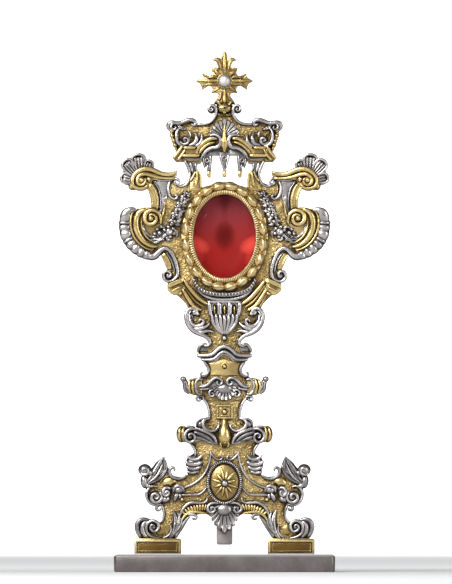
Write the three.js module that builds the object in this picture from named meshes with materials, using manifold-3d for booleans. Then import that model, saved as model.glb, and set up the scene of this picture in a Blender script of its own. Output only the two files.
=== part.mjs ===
// A standing baroque reliquary: a cast relief on a flat plinth, with a beaded oval window and a cross.
// Millimetres, +Z up, front toward -Y, origin at the middle of the plinth's underside.
import * as THREE from "three";
import { mergeVertices } from "three/addons/utils/BufferGeometryUtils.js";
import Module from "manifold-3d";

const wasm = await Module();
wasm.setup();

// Sizes of the whole. Depths of the casting are heights forward of its flat back.
const height = 400;
const plinthWidth = 168.4;
const plinthDepth = 72;
const plinthHeight = 13.5;
const plinthRound = 3;
const backY = 3;
const ground = 6;
const gap = 0.3;
const sampleStep = 7.5;

// The oval window.
const windowZ = 257;
const glassHalfWidth = 24;
const glassHalfHeight = 32.3;
const bezelHalfWidth = 33.2;
const bezelHalfHeight = 42.1;
const holeHalfWidth = 25.6;
const holeHalfHeight = 34;
const ovalSides = 26;

// Turns a closed geometry into a solid that can be joined and cut, facing out whichever way it was drawn.
function solidOf(geometry) {
  geometry.deleteAttribute("normal");
  geometry.deleteAttribute("uv");
  const merged = mergeVertices(geometry, 1e-4);
  const vertProperties = merged.getAttribute("position").array;
  const triVerts = new Uint32Array(merged.index.array);
  const solid = new wasm.Manifold(new wasm.Mesh({ numProp: 3, vertProperties, triVerts }));
  if (solid.volume() > 0) return solid;
  triVerts.reverse();
  return new wasm.Manifold(new wasm.Mesh({ numProp: 3, vertProperties, triVerts }));
}

// Turns a solid back into a named mesh.
function meshOf(name, solid, color, metalness, roughness) {
  const made = solid.getMesh();
  const geometry = new THREE.BufferGeometry();
  geometry.setAttribute("position", new THREE.BufferAttribute(made.vertProperties, 3));
  geometry.setIndex(new THREE.BufferAttribute(made.triVerts, 1));
  geometry.computeVertexNormals();
  const material = new THREE.MeshStandardMaterial({ color, metalness, roughness });
  const mesh = new THREE.Mesh(geometry, material);
  mesh.name = name;
  return mesh;
}

function join(solids) {
  return wasm.Manifold.union(solids);
}

// Both halves of something drawn on the +X side.
function bothSides(solids) {
  const half = join(solids);
  return half.add(half.mirror([1, 0, 0]));
}

function curveThrough(points) {
  const corners = points.map(([x, z]) => new THREE.Vector3(x, 0, z));
  return new THREE.CatmullRomCurve3(corners, false, "centripetal");
}

// A shape from runs of points: each run is a smooth curve, and runs meet in corners.
function shapeOf(runs) {
  const outline = [];
  for (const run of runs) {
    const curve = curveThrough(run);
    const pieces = run.length > 2 ? Math.max(run.length - 1, Math.round(curve.getLength() / sampleStep)) : 1;
    for (const point of curve.getPoints(pieces).slice(1)) {
      outline.push(new THREE.Vector2(point.x, point.z));
    }
  }
  return new THREE.Shape(outline);
}

// Stands a flat shape up facing forward, from one height above the back to another.
function raise(shape, from, to) {
  const options = { depth: to - from, bevelEnabled: false, curveSegments: 3 };
  const geometry = new THREE.ExtrudeGeometry(shape, options);
  geometry.rotateX(Math.PI / 2);
  geometry.translate(0, backY - from, 0);
  return solidOf(geometry);
}

function plate(runs, to, from = 0) {
  return raise(shapeOf(runs), from, to);
}

function oval(halfWidth, halfHeight, z, sides = ovalSides) {
  const shape = new THREE.Shape();
  for (let i = 0; i < sides; i += 1) {
    const angle = (i / sides) * 2 * Math.PI;
    const x = halfWidth * Math.cos(angle);
    const y = z + halfHeight * Math.sin(angle);
    if (i === 0) shape.moveTo(x, y);
    else shape.lineTo(x, y);
  }
  return shape;
}

// A value from an evenly spaced list, at a place from 0 to 1.
function along(values, place) {
  if (!Array.isArray(values)) return values;
  const at = place * (values.length - 1);
  const low = Math.min(Math.floor(at), values.length - 2);
  return values[low] + (values[low + 1] - values[low]) * (at - low);
}

// A rounded band that follows a curve: scrolls, mouldings, ribs, tendrils and pointed leaves.
// Narrow bands come to a ridge, wide ones have a flat top.
const ridge = [[1, 0], [0, 1], [-1, 0]];
const cushion = [[1, 0], [0.55, 1], [-0.55, 1], [-1, 0]];
const wide = 3.3;
function band(points, widths, top, from = ground) {
  const curve = curveThrough(points);
  const profile = Math.max(...[widths].flat()) > wide ? cushion : ridge;
  const count = Math.max(Math.ceil(points.length / 2), Math.round(curve.getLength() / sampleStep));
  const sides = profile.length;
  const positions = [];
  for (let i = 0; i <= count; i += 1) {
    const place = i / count;
    const centre = curve.getPointAt(place);
    const tangent = curve.getTangentAt(place);
    const half = along(widths, place) / 2;
    const tall = along(top, place) - from;
    for (const [across, up] of profile) {
      const x = centre.x - tangent.z * across * half;
      const z = centre.z + tangent.x * across * half;
      positions.push(x, backY - from - tall * up, z);
    }
  }
  const index = [];
  for (let i = 0; i < count; i += 1) {
    for (let j = 0; j < sides; j += 1) {
      const here = i * sides + j;
      const beside = i * sides + ((j + 1) % sides);
      index.push(here, beside, here + sides, beside, beside + sides, here + sides);
    }
  }
  const last = count * sides;
  for (let j = 1; j < sides - 1; j += 1) {
    index.push(0, j + 1, j, last, last + j, last + j + 1);
  }
  const geometry = new THREE.BufferGeometry();
  geometry.setAttribute("position", new THREE.Float32BufferAttribute(positions, 3));
  geometry.setIndex(index);
  return solidOf(geometry);
}

// A flat-backed button turned from a profile of [share of the half size, height], squeezed to an oval.
function button(profile, x, z, halfWidth, halfHeight, sides, tilt = 0) {
  const geometry = new THREE.LatheGeometry(profile.map(([share, up]) => new THREE.Vector2(share, up)), sides);
  geometry.rotateY(Math.PI / sides);
  geometry.scale(halfWidth, -1, halfHeight);
  geometry.rotateY(THREE.MathUtils.degToRad(-tilt));
  geometry.translate(x, backY, z);
  return solidOf(geometry);
}

// A dome: studs, beads and fruit. One that reaches past the ground starts at the back, from 0.
function boss(x, z, halfWidth, halfHeight, top, tilt = 0, from = ground, sides = 6) {
  const rise = top - from;
  const profile = [[0, top], [0.66, from + 0.74 * rise], [1, from], [0, from]];
  return button(profile, x, z, halfWidth, halfHeight, sides, tilt);
}

// Points of a spiral that winds in toward its eye. Angles are in degrees, 0 outward and 90 up.
function spiral(x, z, fromRadius, toRadius, fromAngle, turn, count) {
  const points = [];
  for (let i = 0; i <= count; i += 1) {
    const place = i / count;
    const angle = THREE.MathUtils.degToRad(fromAngle + turn * place);
    const radius = fromRadius + (toRadius - fromRadius) * place;
    points.push([x + radius * Math.cos(angle), z + radius * Math.sin(angle)]);
  }
  return points;
}

// A fluted fan, as in a shell: ridges spread from one point and end in a scalloped rim.
function fan(x, z, fromAngle, toAngle, ribs, reach, top, from = ground) {
  const rim = [[0, 0, top * 0.8]];
  for (let i = 0; i <= 2 * ribs; i += 1) {
    const place = i / (2 * ribs);
    const angle = THREE.MathUtils.degToRad(fromAngle + (toAngle - fromAngle) * place);
    const isRidge = i % 2 === 1;
    const radius = along(reach, place) * (isRidge ? 1 : 0.86);
    rim.push([radius * Math.cos(angle), radius * Math.sin(angle), isRidge ? top : top * 0.72]);
  }
  const positions = [];
  for (const up of [null, from]) {
    for (const [across, rise, tall] of rim) positions.push(x + across, backY - (up ?? tall), z + rise);
  }
  const count = rim.length;
  const index = [];
  for (let i = 0; i < count; i += 1) {
    const next = (i + 1) % count;
    index.push(i, i + count, next, next, i + count, next + count);
    if (i > 0 && i < count - 1) index.push(0, i, i + 1, count, i + 1 + count, i + count);
  }
  const geometry = new THREE.BufferGeometry();
  geometry.setAttribute("position", new THREE.Float32BufferAttribute(positions, 3));
  geometry.setIndex(index);
  return solidOf(geometry);
}

// A volute seen from the front: a round button with a ring and an eye.
function volute(x, z, halfWidth, halfHeight, top, sides = 7, from = ground) {
  const profile = [[0, top], [0.42, top - 2.2], [0.7, top - 0.8], [1, top - 3], [1, from], [0, from]];
  return button(profile, x, z, halfWidth, halfHeight, sides);
}

// The plinth is a slab with softly rounded upper edges.
function makePlinth() {
  const shape = new THREE.Shape();
  const halfWidth = plinthWidth / 2 - plinthRound;
  const halfDepth = plinthDepth / 2 - plinthRound;
  shape.moveTo(-halfWidth, -halfDepth);
  shape.lineTo(halfWidth, -halfDepth);
  shape.lineTo(halfWidth, halfDepth);
  shape.lineTo(-halfWidth, halfDepth);
  const slab = new THREE.ExtrudeGeometry(shape, {
    depth: plinthHeight,
    bevelThickness: plinthRound,
    bevelSize: plinthRound,
    bevelSegments: 4,
  });
  slab.translate(0, 0, -plinthRound);
  const below = new THREE.BoxGeometry(2 * plinthWidth, 2 * plinthDepth, 20);
  below.translate(0, 0, -10);
  return solidOf(slab).subtract(solidOf(below));
}

// Canopy: shoulders, cornice with an arched middle, shell, nose, soffit and hanging drops.
function makeCanopy() {
  const cast = plate(
    [
      [[-0.5, 358.6], [6, 358.6]],
      [[6, 358.6], [6.6, 352], [10.5, 345.2], [15, 343], [21, 342.6]],
      [[21, 342.6], [24.5, 347], [30, 346.2], [34, 344.8], [41.5, 344]],
      [[41.5, 344], [41, 337], [39.5, 330], [36.5, 322]],
      [[36.5, 322], [38.8, 316.4]],
      [[38.8, 316.4], [37, 314.6]],
      [[37, 314.6], [17.5, 314.6]],
      [[17.5, 314.6], [15.5, 320], [11, 323.8], [4, 324], [-0.5, 322.5]],
      [[-0.5, 322.5], [-0.5, 358.6]],
    ],
    ground,
  );
  const soffit = plate([[[-0.5, 326], [15, 326]], [[15, 326], [15, 319.6]], [[15, 319.6], [-0.5, 319.6]],
    [[-0.5, 319.6], [-0.5, 326]]], 4);
  const sideDrop = plate(
    [
      [[17.2, 322], [17, 315], [15.5, 310]],
      [[15.5, 310], [13.9, 311.8]],
      [[13.9, 311.8], [13.2, 306]],
      [[13.2, 306], [10.7, 306]],
      [[10.7, 306], [9.9, 312], [9.4, 319], [9.4, 322]],
      [[9.4, 322], [17.2, 322]],
    ],
    4.6,
  );
  const middleDrop = band([[0, 321], [0, 316.5], [0, 312], [0, 306]], [8.4, 7.4, 3.6, 2], 4.8, 0);
  const tips = [12, 0].map((x) => boss(x, 305.4, 1.6, 2.4, 5.4, 0, 0));
  const outerStrip = band([[41, 340], [40.2, 334], [38.4, 328], [36.4, 322.6]], 2.4, 9);
  const shoulderScroll = band(
    [[24.6, 343.6], [23.4, 345.6], [25.4, 347.3], [30, 346.7], [34, 345.2], [38, 345.8], [41.6, 344.6],
      [43, 342], [42.2, 339]],
    [1.6, 2, 2.2, 2.4, 2.4, 2.8, 3, 2.6, 1.4],
    [8, 9, 10, 10, 10, 10, 10, 9, 8],
  );
  const endBar = band([[31.6, 325.8], [37, 317]], 4.4, 12);
  const middleBar = band([[34, 323.4], [20.5, 323.4]], 5.6, 10);
  const archBar = band([[20.3, 322.4], [18, 326], [14, 329.4], [9.6, 331.2], [5.6, 331.4]], 3.8, 10.4);
  const noseScroll = band(
    [[10.2, 338.2], [7, 336.6], [4.6, 334.8], [3.2, 331], [3.6, 327.4], [5.6, 325.2], [8.6, 325]],
    [2.6, 2.4, 2.4, 2.4, 2.4, 2.4, 1.6],
    10.4,
  );
  const nose = band([[0, 337], [0, 332], [0, 327.5], [0, 323.6]], [2, 4.6, 7.2, 3], [10, 12, 14, 9]);
  const rosette = boss(30.4, 331, 4.7, 4.7, 11.5);
  const acanthus = fan(21.6, 325.4, 116, 52, 3, [10, 12.6], 9.5);
  const shell = fan(-0.5, 333, 90, 26, 3, [14, 12.4], 9.4);
  const curl = volute(10, 355, 3.8, 3.8, 8.5, 6, 0);
  const neckBand = band(
    [[8.4, 358.2], [6.6, 355.6], [6.3, 352], [8, 348.2], [11, 345.4], [15.4, 343.6], [21.6, 343.2]],
    [1.8, 2, 2, 1.8, 1.8, 1.8, 1.6],
    9,
  );
  const dome = boss(0, 355, 6.4, 3.6, 10);
  const support = plate(
    [
      [[31, 316], [28.6, 311.4], [27, 306], [27, 298]],
      [[27, 298], [21, 298]],
      [[21, 298], [20.3, 306.4], [22.5, 311.4], [21.5, 316]],
      [[21.5, 316], [31, 316]],
    ],
    5,
  );
  const fin = plate(
    [
      [[17.6, 306], [17.6, 294]],
      [[17.6, 294], [27, 294]],
      [[27, 294], [25.4, 301], [22.4, 306.8], [19.4, 307.3], [17.6, 306]],
    ],
    8,
  );
  return [cast, soffit, sideDrop, middleDrop, ...tips, outerStrip, shoulderScroll, endBar, middleBar,
    archBar, noseScroll, nose, rosette, acanthus, shell, curl, neckBand, dome, support, fin];
}

// The plain ground around the window, out to the arms and down to the neck.
function makeHeadGround() {
  return plate(
    [
      [[-0.5, 296], [17.5, 296]],
      [[17.5, 296], [27, 301]],
      [[27, 301], [30.5, 296.8], [34, 295.8], [37.5, 298.3]],
      [[37.5, 298.3], [38, 300.5]],
      [[38, 300.5], [58, 300.5]],
      [[58, 300.5], [58.5, 292.8], [57.4, 289], [56.4, 284], [56.4, 278]],
      [[56.4, 278], [60, 277], [65, 275.8], [70, 277.4]],
      [[70, 277.4], [71.5, 268], [70, 256], [64, 248], [55, 243]],
      [[55, 243], [47.2, 243]],
      [[47.2, 243], [44, 237.6], [41.6, 231]],
      [[41.6, 231], [42, 226], [43.4, 221.6], [43.5, 216]],
      [[43.5, 216], [40, 212.6], [36.5, 212.2]],
      [[36.5, 212.2], [31, 207], [27, 202.4], [24, 200]],
      [[24, 200], [23, 190], [16, 183], [11, 176]],
      [[11, 176], [13, 171.6], [19, 169.4]],
      [[19, 169.4], [19.8, 166.3]],
      [[19.8, 166.3], [14.6, 159.4], [10.9, 155.4], [11.8, 151.6], [15, 149]],
      [[15, 149], [-0.5, 149]],
      [[-0.5, 149], [-0.5, 296]],
    ],
    ground,
  );
}

// Upper arm: a bar that ends in a big gilt volute, with a lobed shell around it.
function makeUpperArm() {
  const eyeX = 64.5;
  const eyeZ = 299.2;
  const lobes = fan(eyeX - 1.6, eyeZ + 0.6, 128, -16, 5, [17, 20.6, 20.6, 18, 17.4], 10, 0);
  const body = volute(eyeX, eyeZ - 0.4, 9.6, 9, 14.4, 12, 0);
  const bar = plate(
    [
      [[57, 309.6], [50, 306.8], [45, 306], [40, 306.3], [36, 307.4]],
      [[36, 307.4], [35.2, 305.6], [36.4, 303], [37.8, 299.6]],
      [[37.8, 299.6], [60, 299.6]],
      [[60, 299.6], [60, 309.6]],
      [[60, 309.6], [57, 309.6]],
    ],
    9,
  );
  const topRidge = [[36.6, 306], [42, 305], [48, 305.3], [53, 307], [58, 308.4]];
  const aroundBody = spiral(eyeX, eyeZ, 9, 8.6, 84, -110, 4);
  const ridgeBand = band([...topRidge, ...aroundBody], [2.6, 2.8, 3, 3.2, 3], 12);
  const stem = band(
    [[58, 297], [55.4, 293.6], [54, 289], [53.2, 283], [53.6, 276]],
    [5, 6.6, 7, 6.6, 6],
    9.4,
    0,
  );
  const edge = band(
    [[37.8, 297.4], [34, 296.2], [30.8, 297.2], [28.2, 299.8], [26.6, 303.4], [26.6, 307.4]],
    [1.2, 1.6, 1.8, 1.8, 1.6],
    8.4,
  );
  return [lobes, body, bar, ridgeBand, stem, edge];
}

// Lower arm: a gilt volute held by a silvered wing that runs on as a tube to a small curl.
function makeLowerArm() {
  const eyeX = 55.6;
  const eyeZ = 269;
  const wing = band(
    [[73.4, 277.6], [75.8, 272], [76, 264], [74.4, 256.4], [70.6, 250.4], [65.6, 245.6], [60, 242.2],
      [55.4, 241.6]],
    [5, 9, 9.4, 8.6, 8, 7.4, 6.6, 6],
    [6, 8, 8, 8, 8, 8, 8, 8],
    0,
  );
  const gadroons = [
    boss(75.4, 272.2, 4.8, 5, 12, 0, 0),
    boss(76, 262.6, 4.5, 4, 12, 0, 0),
    boss(72.4, 252.4, 4.6, 4, 12, 0, 0),
    boss(65.4, 245.4, 3.8, 3.2, 12, 0, 0),
  ];
  const tube = band(
    [[60, 242.4], [56, 241.8], [52.6, 243], [49.6, 245.6], [46, 247.3], [43, 246.2], [40.4, 242.4],
      [37.8, 237], [36.3, 231.4], [37.2, 227.2], [39.8, 223.6]],
    [6.4, 5.6, 4, 3, 2.6, 2.4, 2.2, 2.2],
    [11, 11, 10.5, 10, 9.6, 9.4, 9],
  );
  const curl = volute(42.8, 227, 4.4, 4.6, 9.6, 7, 0);
  const winding = band(
    [[50, 247.6], [56, 247.8], [60.4, 250.4], [64, 254.6], [66.4, 260], [67.3, 266], [65.4, 271.6],
      [61, 274.8], [56, 275.4]],
    [4, 6, 6.6, 6.8, 6.6, 6, 4.6, 3.4],
    [8.6, 9, 10, 11, 11.4, 12, 12],
  );
  const disc = volute(eyeX, eyeZ, 5.8, 5.8, 13.6);
  const bead = boss(42, 259.7, 3.6, 3.6, 11.5);
  return [wing, ...gadroons, tube, curl, winding, disc, bead];
}

// The garland beside the window: pairs of leaves and fruit on a slanting line, then a lower cluster.
function makeGarland() {
  const start = [27.6, 290.4];
  const end = [40.4, 265.6];
  const count = 4;
  const solids = [];
  for (let i = 0; i <= count; i += 1) {
    const place = i / count;
    const x = start[0] + (end[0] - start[0]) * place;
    const z = start[1] + (end[1] - start[1]) * place;
    const spread = 2 + 2 * Math.sin(Math.PI * (0.15 + 0.75 * place));
    solids.push(boss(x, z, spread, 2.7, 9.6, -30));
  }
  for (const [x, z, tilt] of [[48.6, 256.8, 60], [54.6, 257.4, 20]]) {
    solids.push(boss(x, z, 1.9, 3.2, 9.2, tilt));
  }
  return solids;
}

// Below the window: a ribbed crescent, a gadrooned vase, slanting mouldings, cornice ends and scrolls.
function makeShoulder() {
  const crescent = band(
    [[24, 224], [21.4, 217.8], [18.4, 214.2], [13.6, 212], [7, 210.6], [-0.5, 210.2]],
    [0.8, 3.4, 4.6, 5.2, 5.6, 5.8],
    10,
  );
  const vase = band(
    [[0, 208], [0, 204], [0, 199], [0, 194], [0, 188], [0, 182]],
    [27, 22.6, 22, 21, 14, 3],
    [10, 11, 11, 11.4, 11, 9],
  );
  const petals = fan(-0.5, 180.6, 90, 46, 3, [15, 14.6], 13.4);
  const finial = boss(0, 178.8, 2, 2, 10);
  const mouldings = [0, 1, 2].map((i) => {
    const shiftX = 1.5 * i;
    const shiftZ = -3.2 * i;
    return band(
      [
        [29.4 + shiftX * 0.6, 223 + shiftZ],
        [24.8 + shiftX, 216.4 + shiftZ],
        [19.6 + shiftX * 1.4, 210.4 + shiftZ],
        [13.6 + shiftX * 1.9, 205 + shiftZ * 0.7],
      ],
      2.2,
      9.4 - 0.5 * i,
    );
  });
  const corniceBar = band([[31.6, 223.2], [42.6, 218.4]], 4.2, 11);
  const lowerBar = band([[32.4, 217.8], [40, 214.6]], 2.8, 9.4);
  const scroll = band(
    [[22, 197.8], [22.2, 200.4], [24.6, 201.6], [27.4, 200], [28.8, 195.8], [28, 191], [25.4, 186.8],
      [22, 184], [17.4, 182.2]],
    [1.8, 2.4, 2.8, 3, 3, 3, 3, 2.6, 2],
    10,
    0,
  );
  const upperLeaf = band([[23.6, 186.8], [18, 187.2], [13.6, 189], [11, 191.2]], [1.6, 2.8, 3, 1], 9.6);
  const lowerLeaf = band([[21.6, 184.4], [15, 184.6], [11, 184.8], [7, 183.2]], [1.6, 2.8, 2.6, 1], 9.6);
  const droop = band(
    [[17, 182.4], [13.8, 180.6], [11.6, 177.4], [12, 174], [17.4, 172.6]],
    [1.6, 3, 3, 2.6, 2.8],
    9,
    0,
  );
  return [crescent, vase, petals, finial, ...mouldings, corniceBar, lowerBar, scroll, upperLeaf,
    lowerLeaf, droop];
}

// The neck with its arched cornice, and the upper knop with scrolls, barrel ends and a shell.
function makeUpperStem() {
  const archTop = band(
    [[19.8, 166], [12, 166.2], [9, 167.6], [6, 170.3], [3, 172.3], [-0.5, 173]],
    [1.4, 2, 2.2, 2.2, 2.2, 2.2],
    12,
  );
  const archLow = band(
    [[16.6, 163], [11, 163.2], [8, 163.8], [5.6, 165.8], [3, 167.8], [-0.5, 168.6]],
    2.2,
    10.4,
  );
  const rivet = boss(0, 157.2, 2.4, 2.4, 9);
  const sideScroll = band([[12.4, 161], [11, 157.8], [10.8, 154.4], [12, 151.4], [14.4, 149.8]], 2, 8.4);
  const sideCurl = boss(14, 151.8, 2, 2, 8.4, 0, 0);
  const cast = plate(
    [
      [[-0.5, 150], [15, 150]],
      [[15, 150], [17, 148.4], [22, 148.9], [26, 147.4]],
      [[26, 147.4], [27.4, 142], [26.4, 136]],
      [[26.4, 136], [21.6, 135.2], [19, 131.4], [15, 131.6]],
      [[15, 131.6], [15, 128]],
      [[15, 128], [-0.5, 128]],
      [[-0.5, 128], [-0.5, 150]],
    ],
    ground,
  );
  const barrel = [[22.4, 6.6], [25.6, 6]].map(([x, reach]) => boss(x, 142, 2.2, reach, 12.4, 0, 0));
  const cup = band(
    [[15.6, 146.4], [18.4, 147], [20, 142], [18.4, 136.9], [15.6, 137.4]],
    [1.6, 2, 2.4, 2, 1.6],
    11,
  );
  const endLeaf = band([[26.6, 136.4], [28.6, 141], [29, 145], [31.6, 149.2]], [2.6, 4, 4.4, 1.8], 9, 0);
  const scroll = band([[18, 142], [14.4, 142.2], [11.6, 144.4], [9, 146.9], [5, 148.2]],
    [1.8, 2, 2.4, 2.6], [10, 11, 11]);
  const eye = volute(4, 144.8, 3.8, 3.8, 12);
  const shell = fan(-0.5, 142, -90, -28, 3, [11.6, 9.6], 11);
  const shellCurl = boss(9, 136.6, 2.4, 2.2, 11);
  return [archTop, archLow, rivet, sideScroll, sideCurl, cast, ...barrel, cup, endLeaf, scroll, eye, shell,
    shellCurl];
}

// The lower stem with its square panel, and the lower knop with wings, end caps and a bell.
function makeLowerStem() {
  const cast = plate(
    [
      [[-0.5, 132], [15, 132]],
      [[15, 132], [13, 128.6], [11.4, 124], [10.8, 119], [10.8, 116]],
      [[10.8, 116], [18, 115.2]],
      [[18, 115.2], [22, 111.2], [30, 112]],
      [[30, 112], [34.4, 110.4], [36, 105.6], [34.8, 100]],
      [[34.8, 100], [30, 99.4], [25, 97.6], [22.4, 93], [22, 87]],
      [[22, 87], [-0.5, 87]],
      [[-0.5, 87], [-0.5, 132]],
    ],
    ground,
  );
  const panelSides = [
    band([[5.4, 127.4], [5.4, 117.4]], 1.4, 8),
    band([[6, 127.4], [-0.5, 127.4]], 1.4, 8),
    band([[6, 117.4], [-0.5, 117.4]], 1.4, 8),
  ];
  const stud = boss(0, 122.3, 2, 2, 9);
  const hook = band(
    [[11.6, 117.4], [14.2, 115], [13.8, 111.6], [11, 108.9], [8, 108.8], [5.4, 111], [3.4, 113.4]],
    [1.8, 2.6, 2.8, 2.8, 2.6, 2.2, 1.6],
    [9, 10, 11, 11.4, 11, 10, 9],
  );
  const hump = boss(18.6, 112, 2.2, 3.7, 11, -14);
  const wing = band([[9, 101.8], [15, 103.4], [20, 105.4], [24, 108]], [3.4, 4.6, 5, 4], [10, 11, 11.6, 11]);
  const roll = volute(26, 104.4, 5.6, 6.4, 12.4, 7, 0);
  const leaf = band(
    [[9.8, 107.6], [7.6, 104.4], [6.4, 100.6], [6.4, 96.4]],
    [1.8, 3.2, 3.4, 2.2],
    [10, 11, 11, 9.4],
  );
  const endCap = [30.6, 33].map((x) => boss(x, 105.8, 3.6, 6.4 - 0.3 * (x - 30.6), 11.4, 0, 0));
  const bell = band(
    [[0, 116.4], [0, 111], [0, 105.4], [0, 101.6], [0, 95.6]],
    [2, 4.6, 11.6, 8.6, 3],
    [8, 11, 13, 12.4, 8],
  );
  return [cast, ...panelSides, stud, hook, hump, wing, roll, leaf, ...endCap, bell];
}

// The foot's ground: two splayed legs on square blocks.
function makeFootGround() {
  return plate(
    [
      [[-0.5, 92], [22, 92]],
      [[22, 92], [28, 88], [29, 80], [28.4, 74]],
      [[28.4, 74], [32, 71.6], [36, 71], [40.4, 73.6], [42, 79]],
      [[42, 79], [48, 79]],
      [[48, 79], [62, 71], [62, 60], [57, 53]],
      [[57, 53], [49, 51]],
      [[49, 51], [47.4, 46], [47.4, 42], [50, 37.4]],
      [[50, 37.4], [60, 38], [66, 36], [63.6, 24.6]],
      [[63.6, 24.6], [37.3, 24.6]],
      [[37.3, 24.6], [37.3, 28]],
      [[37.3, 28], [35, 30.6], [32, 33.2], [30, 37], [28.4, 40.6], [25.6, 43.4]],
      [[25.6, 43.4], [20, 43.6], [15, 44.6], [11, 42]],
      [[11, 42], [-0.5, 42]],
      [[-0.5, 42], [-0.5, 92]],
    ],
    ground,
  );
}

// Work on the foot: medallion, fillets, urn rings, leaves and volutes, and the shell between the legs.
function makeFoot() {
  const medallionZ = 67.5;
  const ringPoints = spiral(0, 0, 1, 1, -90, 180, 16).map(([x, z]) => [12.74 * x, medallionZ + 15.7 * z]);
  ringPoints[0] = [-0.6, medallionZ - 15.7];
  ringPoints[16] = [-0.6, medallionZ + 15.7];
  const ring = band(ringPoints, 1.8, 9);
  const dome = boss(0, medallionZ, 11.4, 14.4, 11.4, 0, ground, 12);
  const stud = boss(0, medallionZ, 3.3, 3.3, 14.4);
  const upperFillet = band(
    [[31.6, 64.2], [26.6, 64.8], [22, 66.6], [17.4, 70], [14, 74.6], [11.4, 80], [10, 90]],
    1.6,
    8.2,
  );
  const lowerFillet = band([[33, 59.6], [25, 59.5], [18.6, 59.8], [13.6, 63.8]], 1.5, 8.2);
  const crownLine = band([[9.8, 90.2], [7.6, 87.2], [4.8, 85.8], [2.4, 87.2], [3.6, 88.8]], 1.5, 8.2);
  const urn = [
    boss(23, 87.6, 6, 2.5, 11.6, 0, 0),
    boss(23.7, 81.8, 6, 3.6, 11.6, 0, 0),
    boss(23.6, 76.8, 4.8, 2.2, 11.6, 0, 0),
  ];
  const hollowEdge = band(
    [[29, 74.4], [32, 71], [35.6, 70.4], [39, 71.8], [40.8, 75], [40.4, 78.4]],
    [1.6, 1.8, 2, 2, 2, 2],
    8.6,
  );
  const tallLeaf = band(
    [[56, 70], [53.6, 75.6], [50.6, 80.6], [48.4, 85.2], [47.2, 89]],
    [3, 6.4, 7, 5, 1.4],
    [9, 11, 11, 10, 8],
    0,
  );
  const leafSide = band(
    [[60, 68.4], [54, 71.4], [49, 74.6], [44.6, 80.4]],
    [3, 3.4, 3, 1.2],
    [11, 11, 10, 8],
    0,
  );
  const knob = boss(61.2, 77.8, 4.9, 4.5, 12, 0, 0, 8);
  const body = band([[62, 75], [61.4, 69], [60, 62], [57.4, 56]], [5, 7, 6, 4], 10.4, 0);
  const coils = [
    volute(53.8, 58.6, 7.4, 7, 14.4, 7, 0),
    volute(45, 59, 5, 6.8, 13, 7, 0),
    volute(36.6, 59.2, 4.4, 6.4, 11, 7, 0),
  ];
  const snail = volute(55.8, 33, 7, 7.2, 15.4, 10, 0);
  const snailSide = plate(
    [
      [[62, 24.6], [67, 30.4], [69.3, 35.6], [67.4, 39.4], [63, 40.2], [58, 39.4]],
      [[58, 39.4], [56, 24.6]],
      [[56, 24.6], [62, 24.6]],
    ],
    8.4,
  );
  const innerLeaf = band(
    [[44.4, 26.4], [40, 28.6], [38.4, 33.6], [39, 40], [40.2, 47]],
    [1.8, 3.4, 4.4, 3.6, 1.2],
    [9, 10, 10.6, 10, 8.4],
    0,
  );
  const archEdge = band(
    [[37.4, 25.4], [36.4, 28.4], [33.4, 32.4], [31, 36], [29.2, 40.2], [26.2, 43.2], [21.6, 44.2]],
    2.2,
    9,
  );
  const apron = band([[33.4, 37.6], [31, 43], [27, 46.8], [21.4, 48], [13, 48]], [3.4, 5, 5.6, 5.8, 5.4], 9);
  const shell = fan(-0.5, 48, -90, -8, 5, [19.4, 15.6, 13, 12], 13, 0);
  const shellCurl = boss(9.6, 48.4, 2.8, 2.7, 12.4);
  return [ring, dome, stud, upperFillet, lowerFillet, crownLine, ...urn, hollowEdge, tallLeaf, leafSide,
    knob, body, ...coils, snail, snailSide, innerLeaf, archEdge, apron, shell, shellCurl];
}

// Foot blocks: square, with a sunk panel on the front.
function makeFootBlock() {
  const inner = 33.4;
  const outer = 68.6;
  const bottom = plinthHeight + gap;
  const top = 25;
  const front = 15;
  const back = -6;
  const block = new THREE.BoxGeometry(outer - inner, front - back, top - bottom);
  block.translate((inner + outer) / 2, backY - (front + back) / 2, (top + bottom) / 2);
  const panelWidth = 29.4;
  const panelHeight = 7.2;
  const panel = new THREE.BoxGeometry(panelWidth, 2, panelHeight);
  panel.translate(51.6, backY - front, 18.8);
  return solidOf(block).subtract(solidOf(panel));
}

function makeRelief() {
  const halves = [
    ...makeCanopy(),
    makeHeadGround(),
    ...makeUpperArm(),
    ...makeLowerArm(),
    ...makeGarland(),
    ...makeShoulder(),
    ...makeUpperStem(),
    ...makeLowerStem(),
    makeFootGround(),
    ...makeFoot(),
  ];
  const behind = new THREE.BoxGeometry(2 * plinthWidth, 40, 2 * height);
  behind.translate(0, backY + 20, height / 2);
  const hole = raise(oval(holeHalfWidth, holeHalfHeight, windowZ), -1, 30);
  const flatBacked = bothSides(halves).subtract(solidOf(behind));
  return flatBacked.add(bothSides([makeFootBlock()])).subtract(hole);
}

// The bezel: a flat oval rim, a ring of long beads and a milled inner lip.
function makeBezel() {
  const back = ground + gap;
  const rim = oval(bezelHalfWidth, bezelHalfHeight, windowZ);
  rim.holes.push(oval(glassHalfWidth, glassHalfHeight, windowZ));
  const lip = oval(glassHalfWidth + 1.8, glassHalfHeight + 1.8, windowZ);
  lip.holes.push(oval(glassHalfWidth, glassHalfHeight, windowZ));
  const beadCount = 22;
  const beadHalfWidth = 29.6;
  const beadHalfHeight = 38.6;
  const beads = [];
  for (let i = 0; i < beadCount; i += 1) {
    const angle = ((i + 0.5) / beadCount) * 2 * Math.PI;
    const tilt = THREE.MathUtils.radToDeg(
      Math.atan2(beadHalfHeight * Math.cos(angle), -beadHalfWidth * Math.sin(angle)),
    );
    const x = beadHalfWidth * Math.cos(angle);
    const z = windowZ + beadHalfHeight * Math.sin(angle);
    beads.push(boss(x, z, 4.9, 3, back + 7.4, tilt, back + 3));
  }
  return join([raise(rim, back, back + 3.4), raise(lip, back, back + 5), ...beads]);
}

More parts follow.
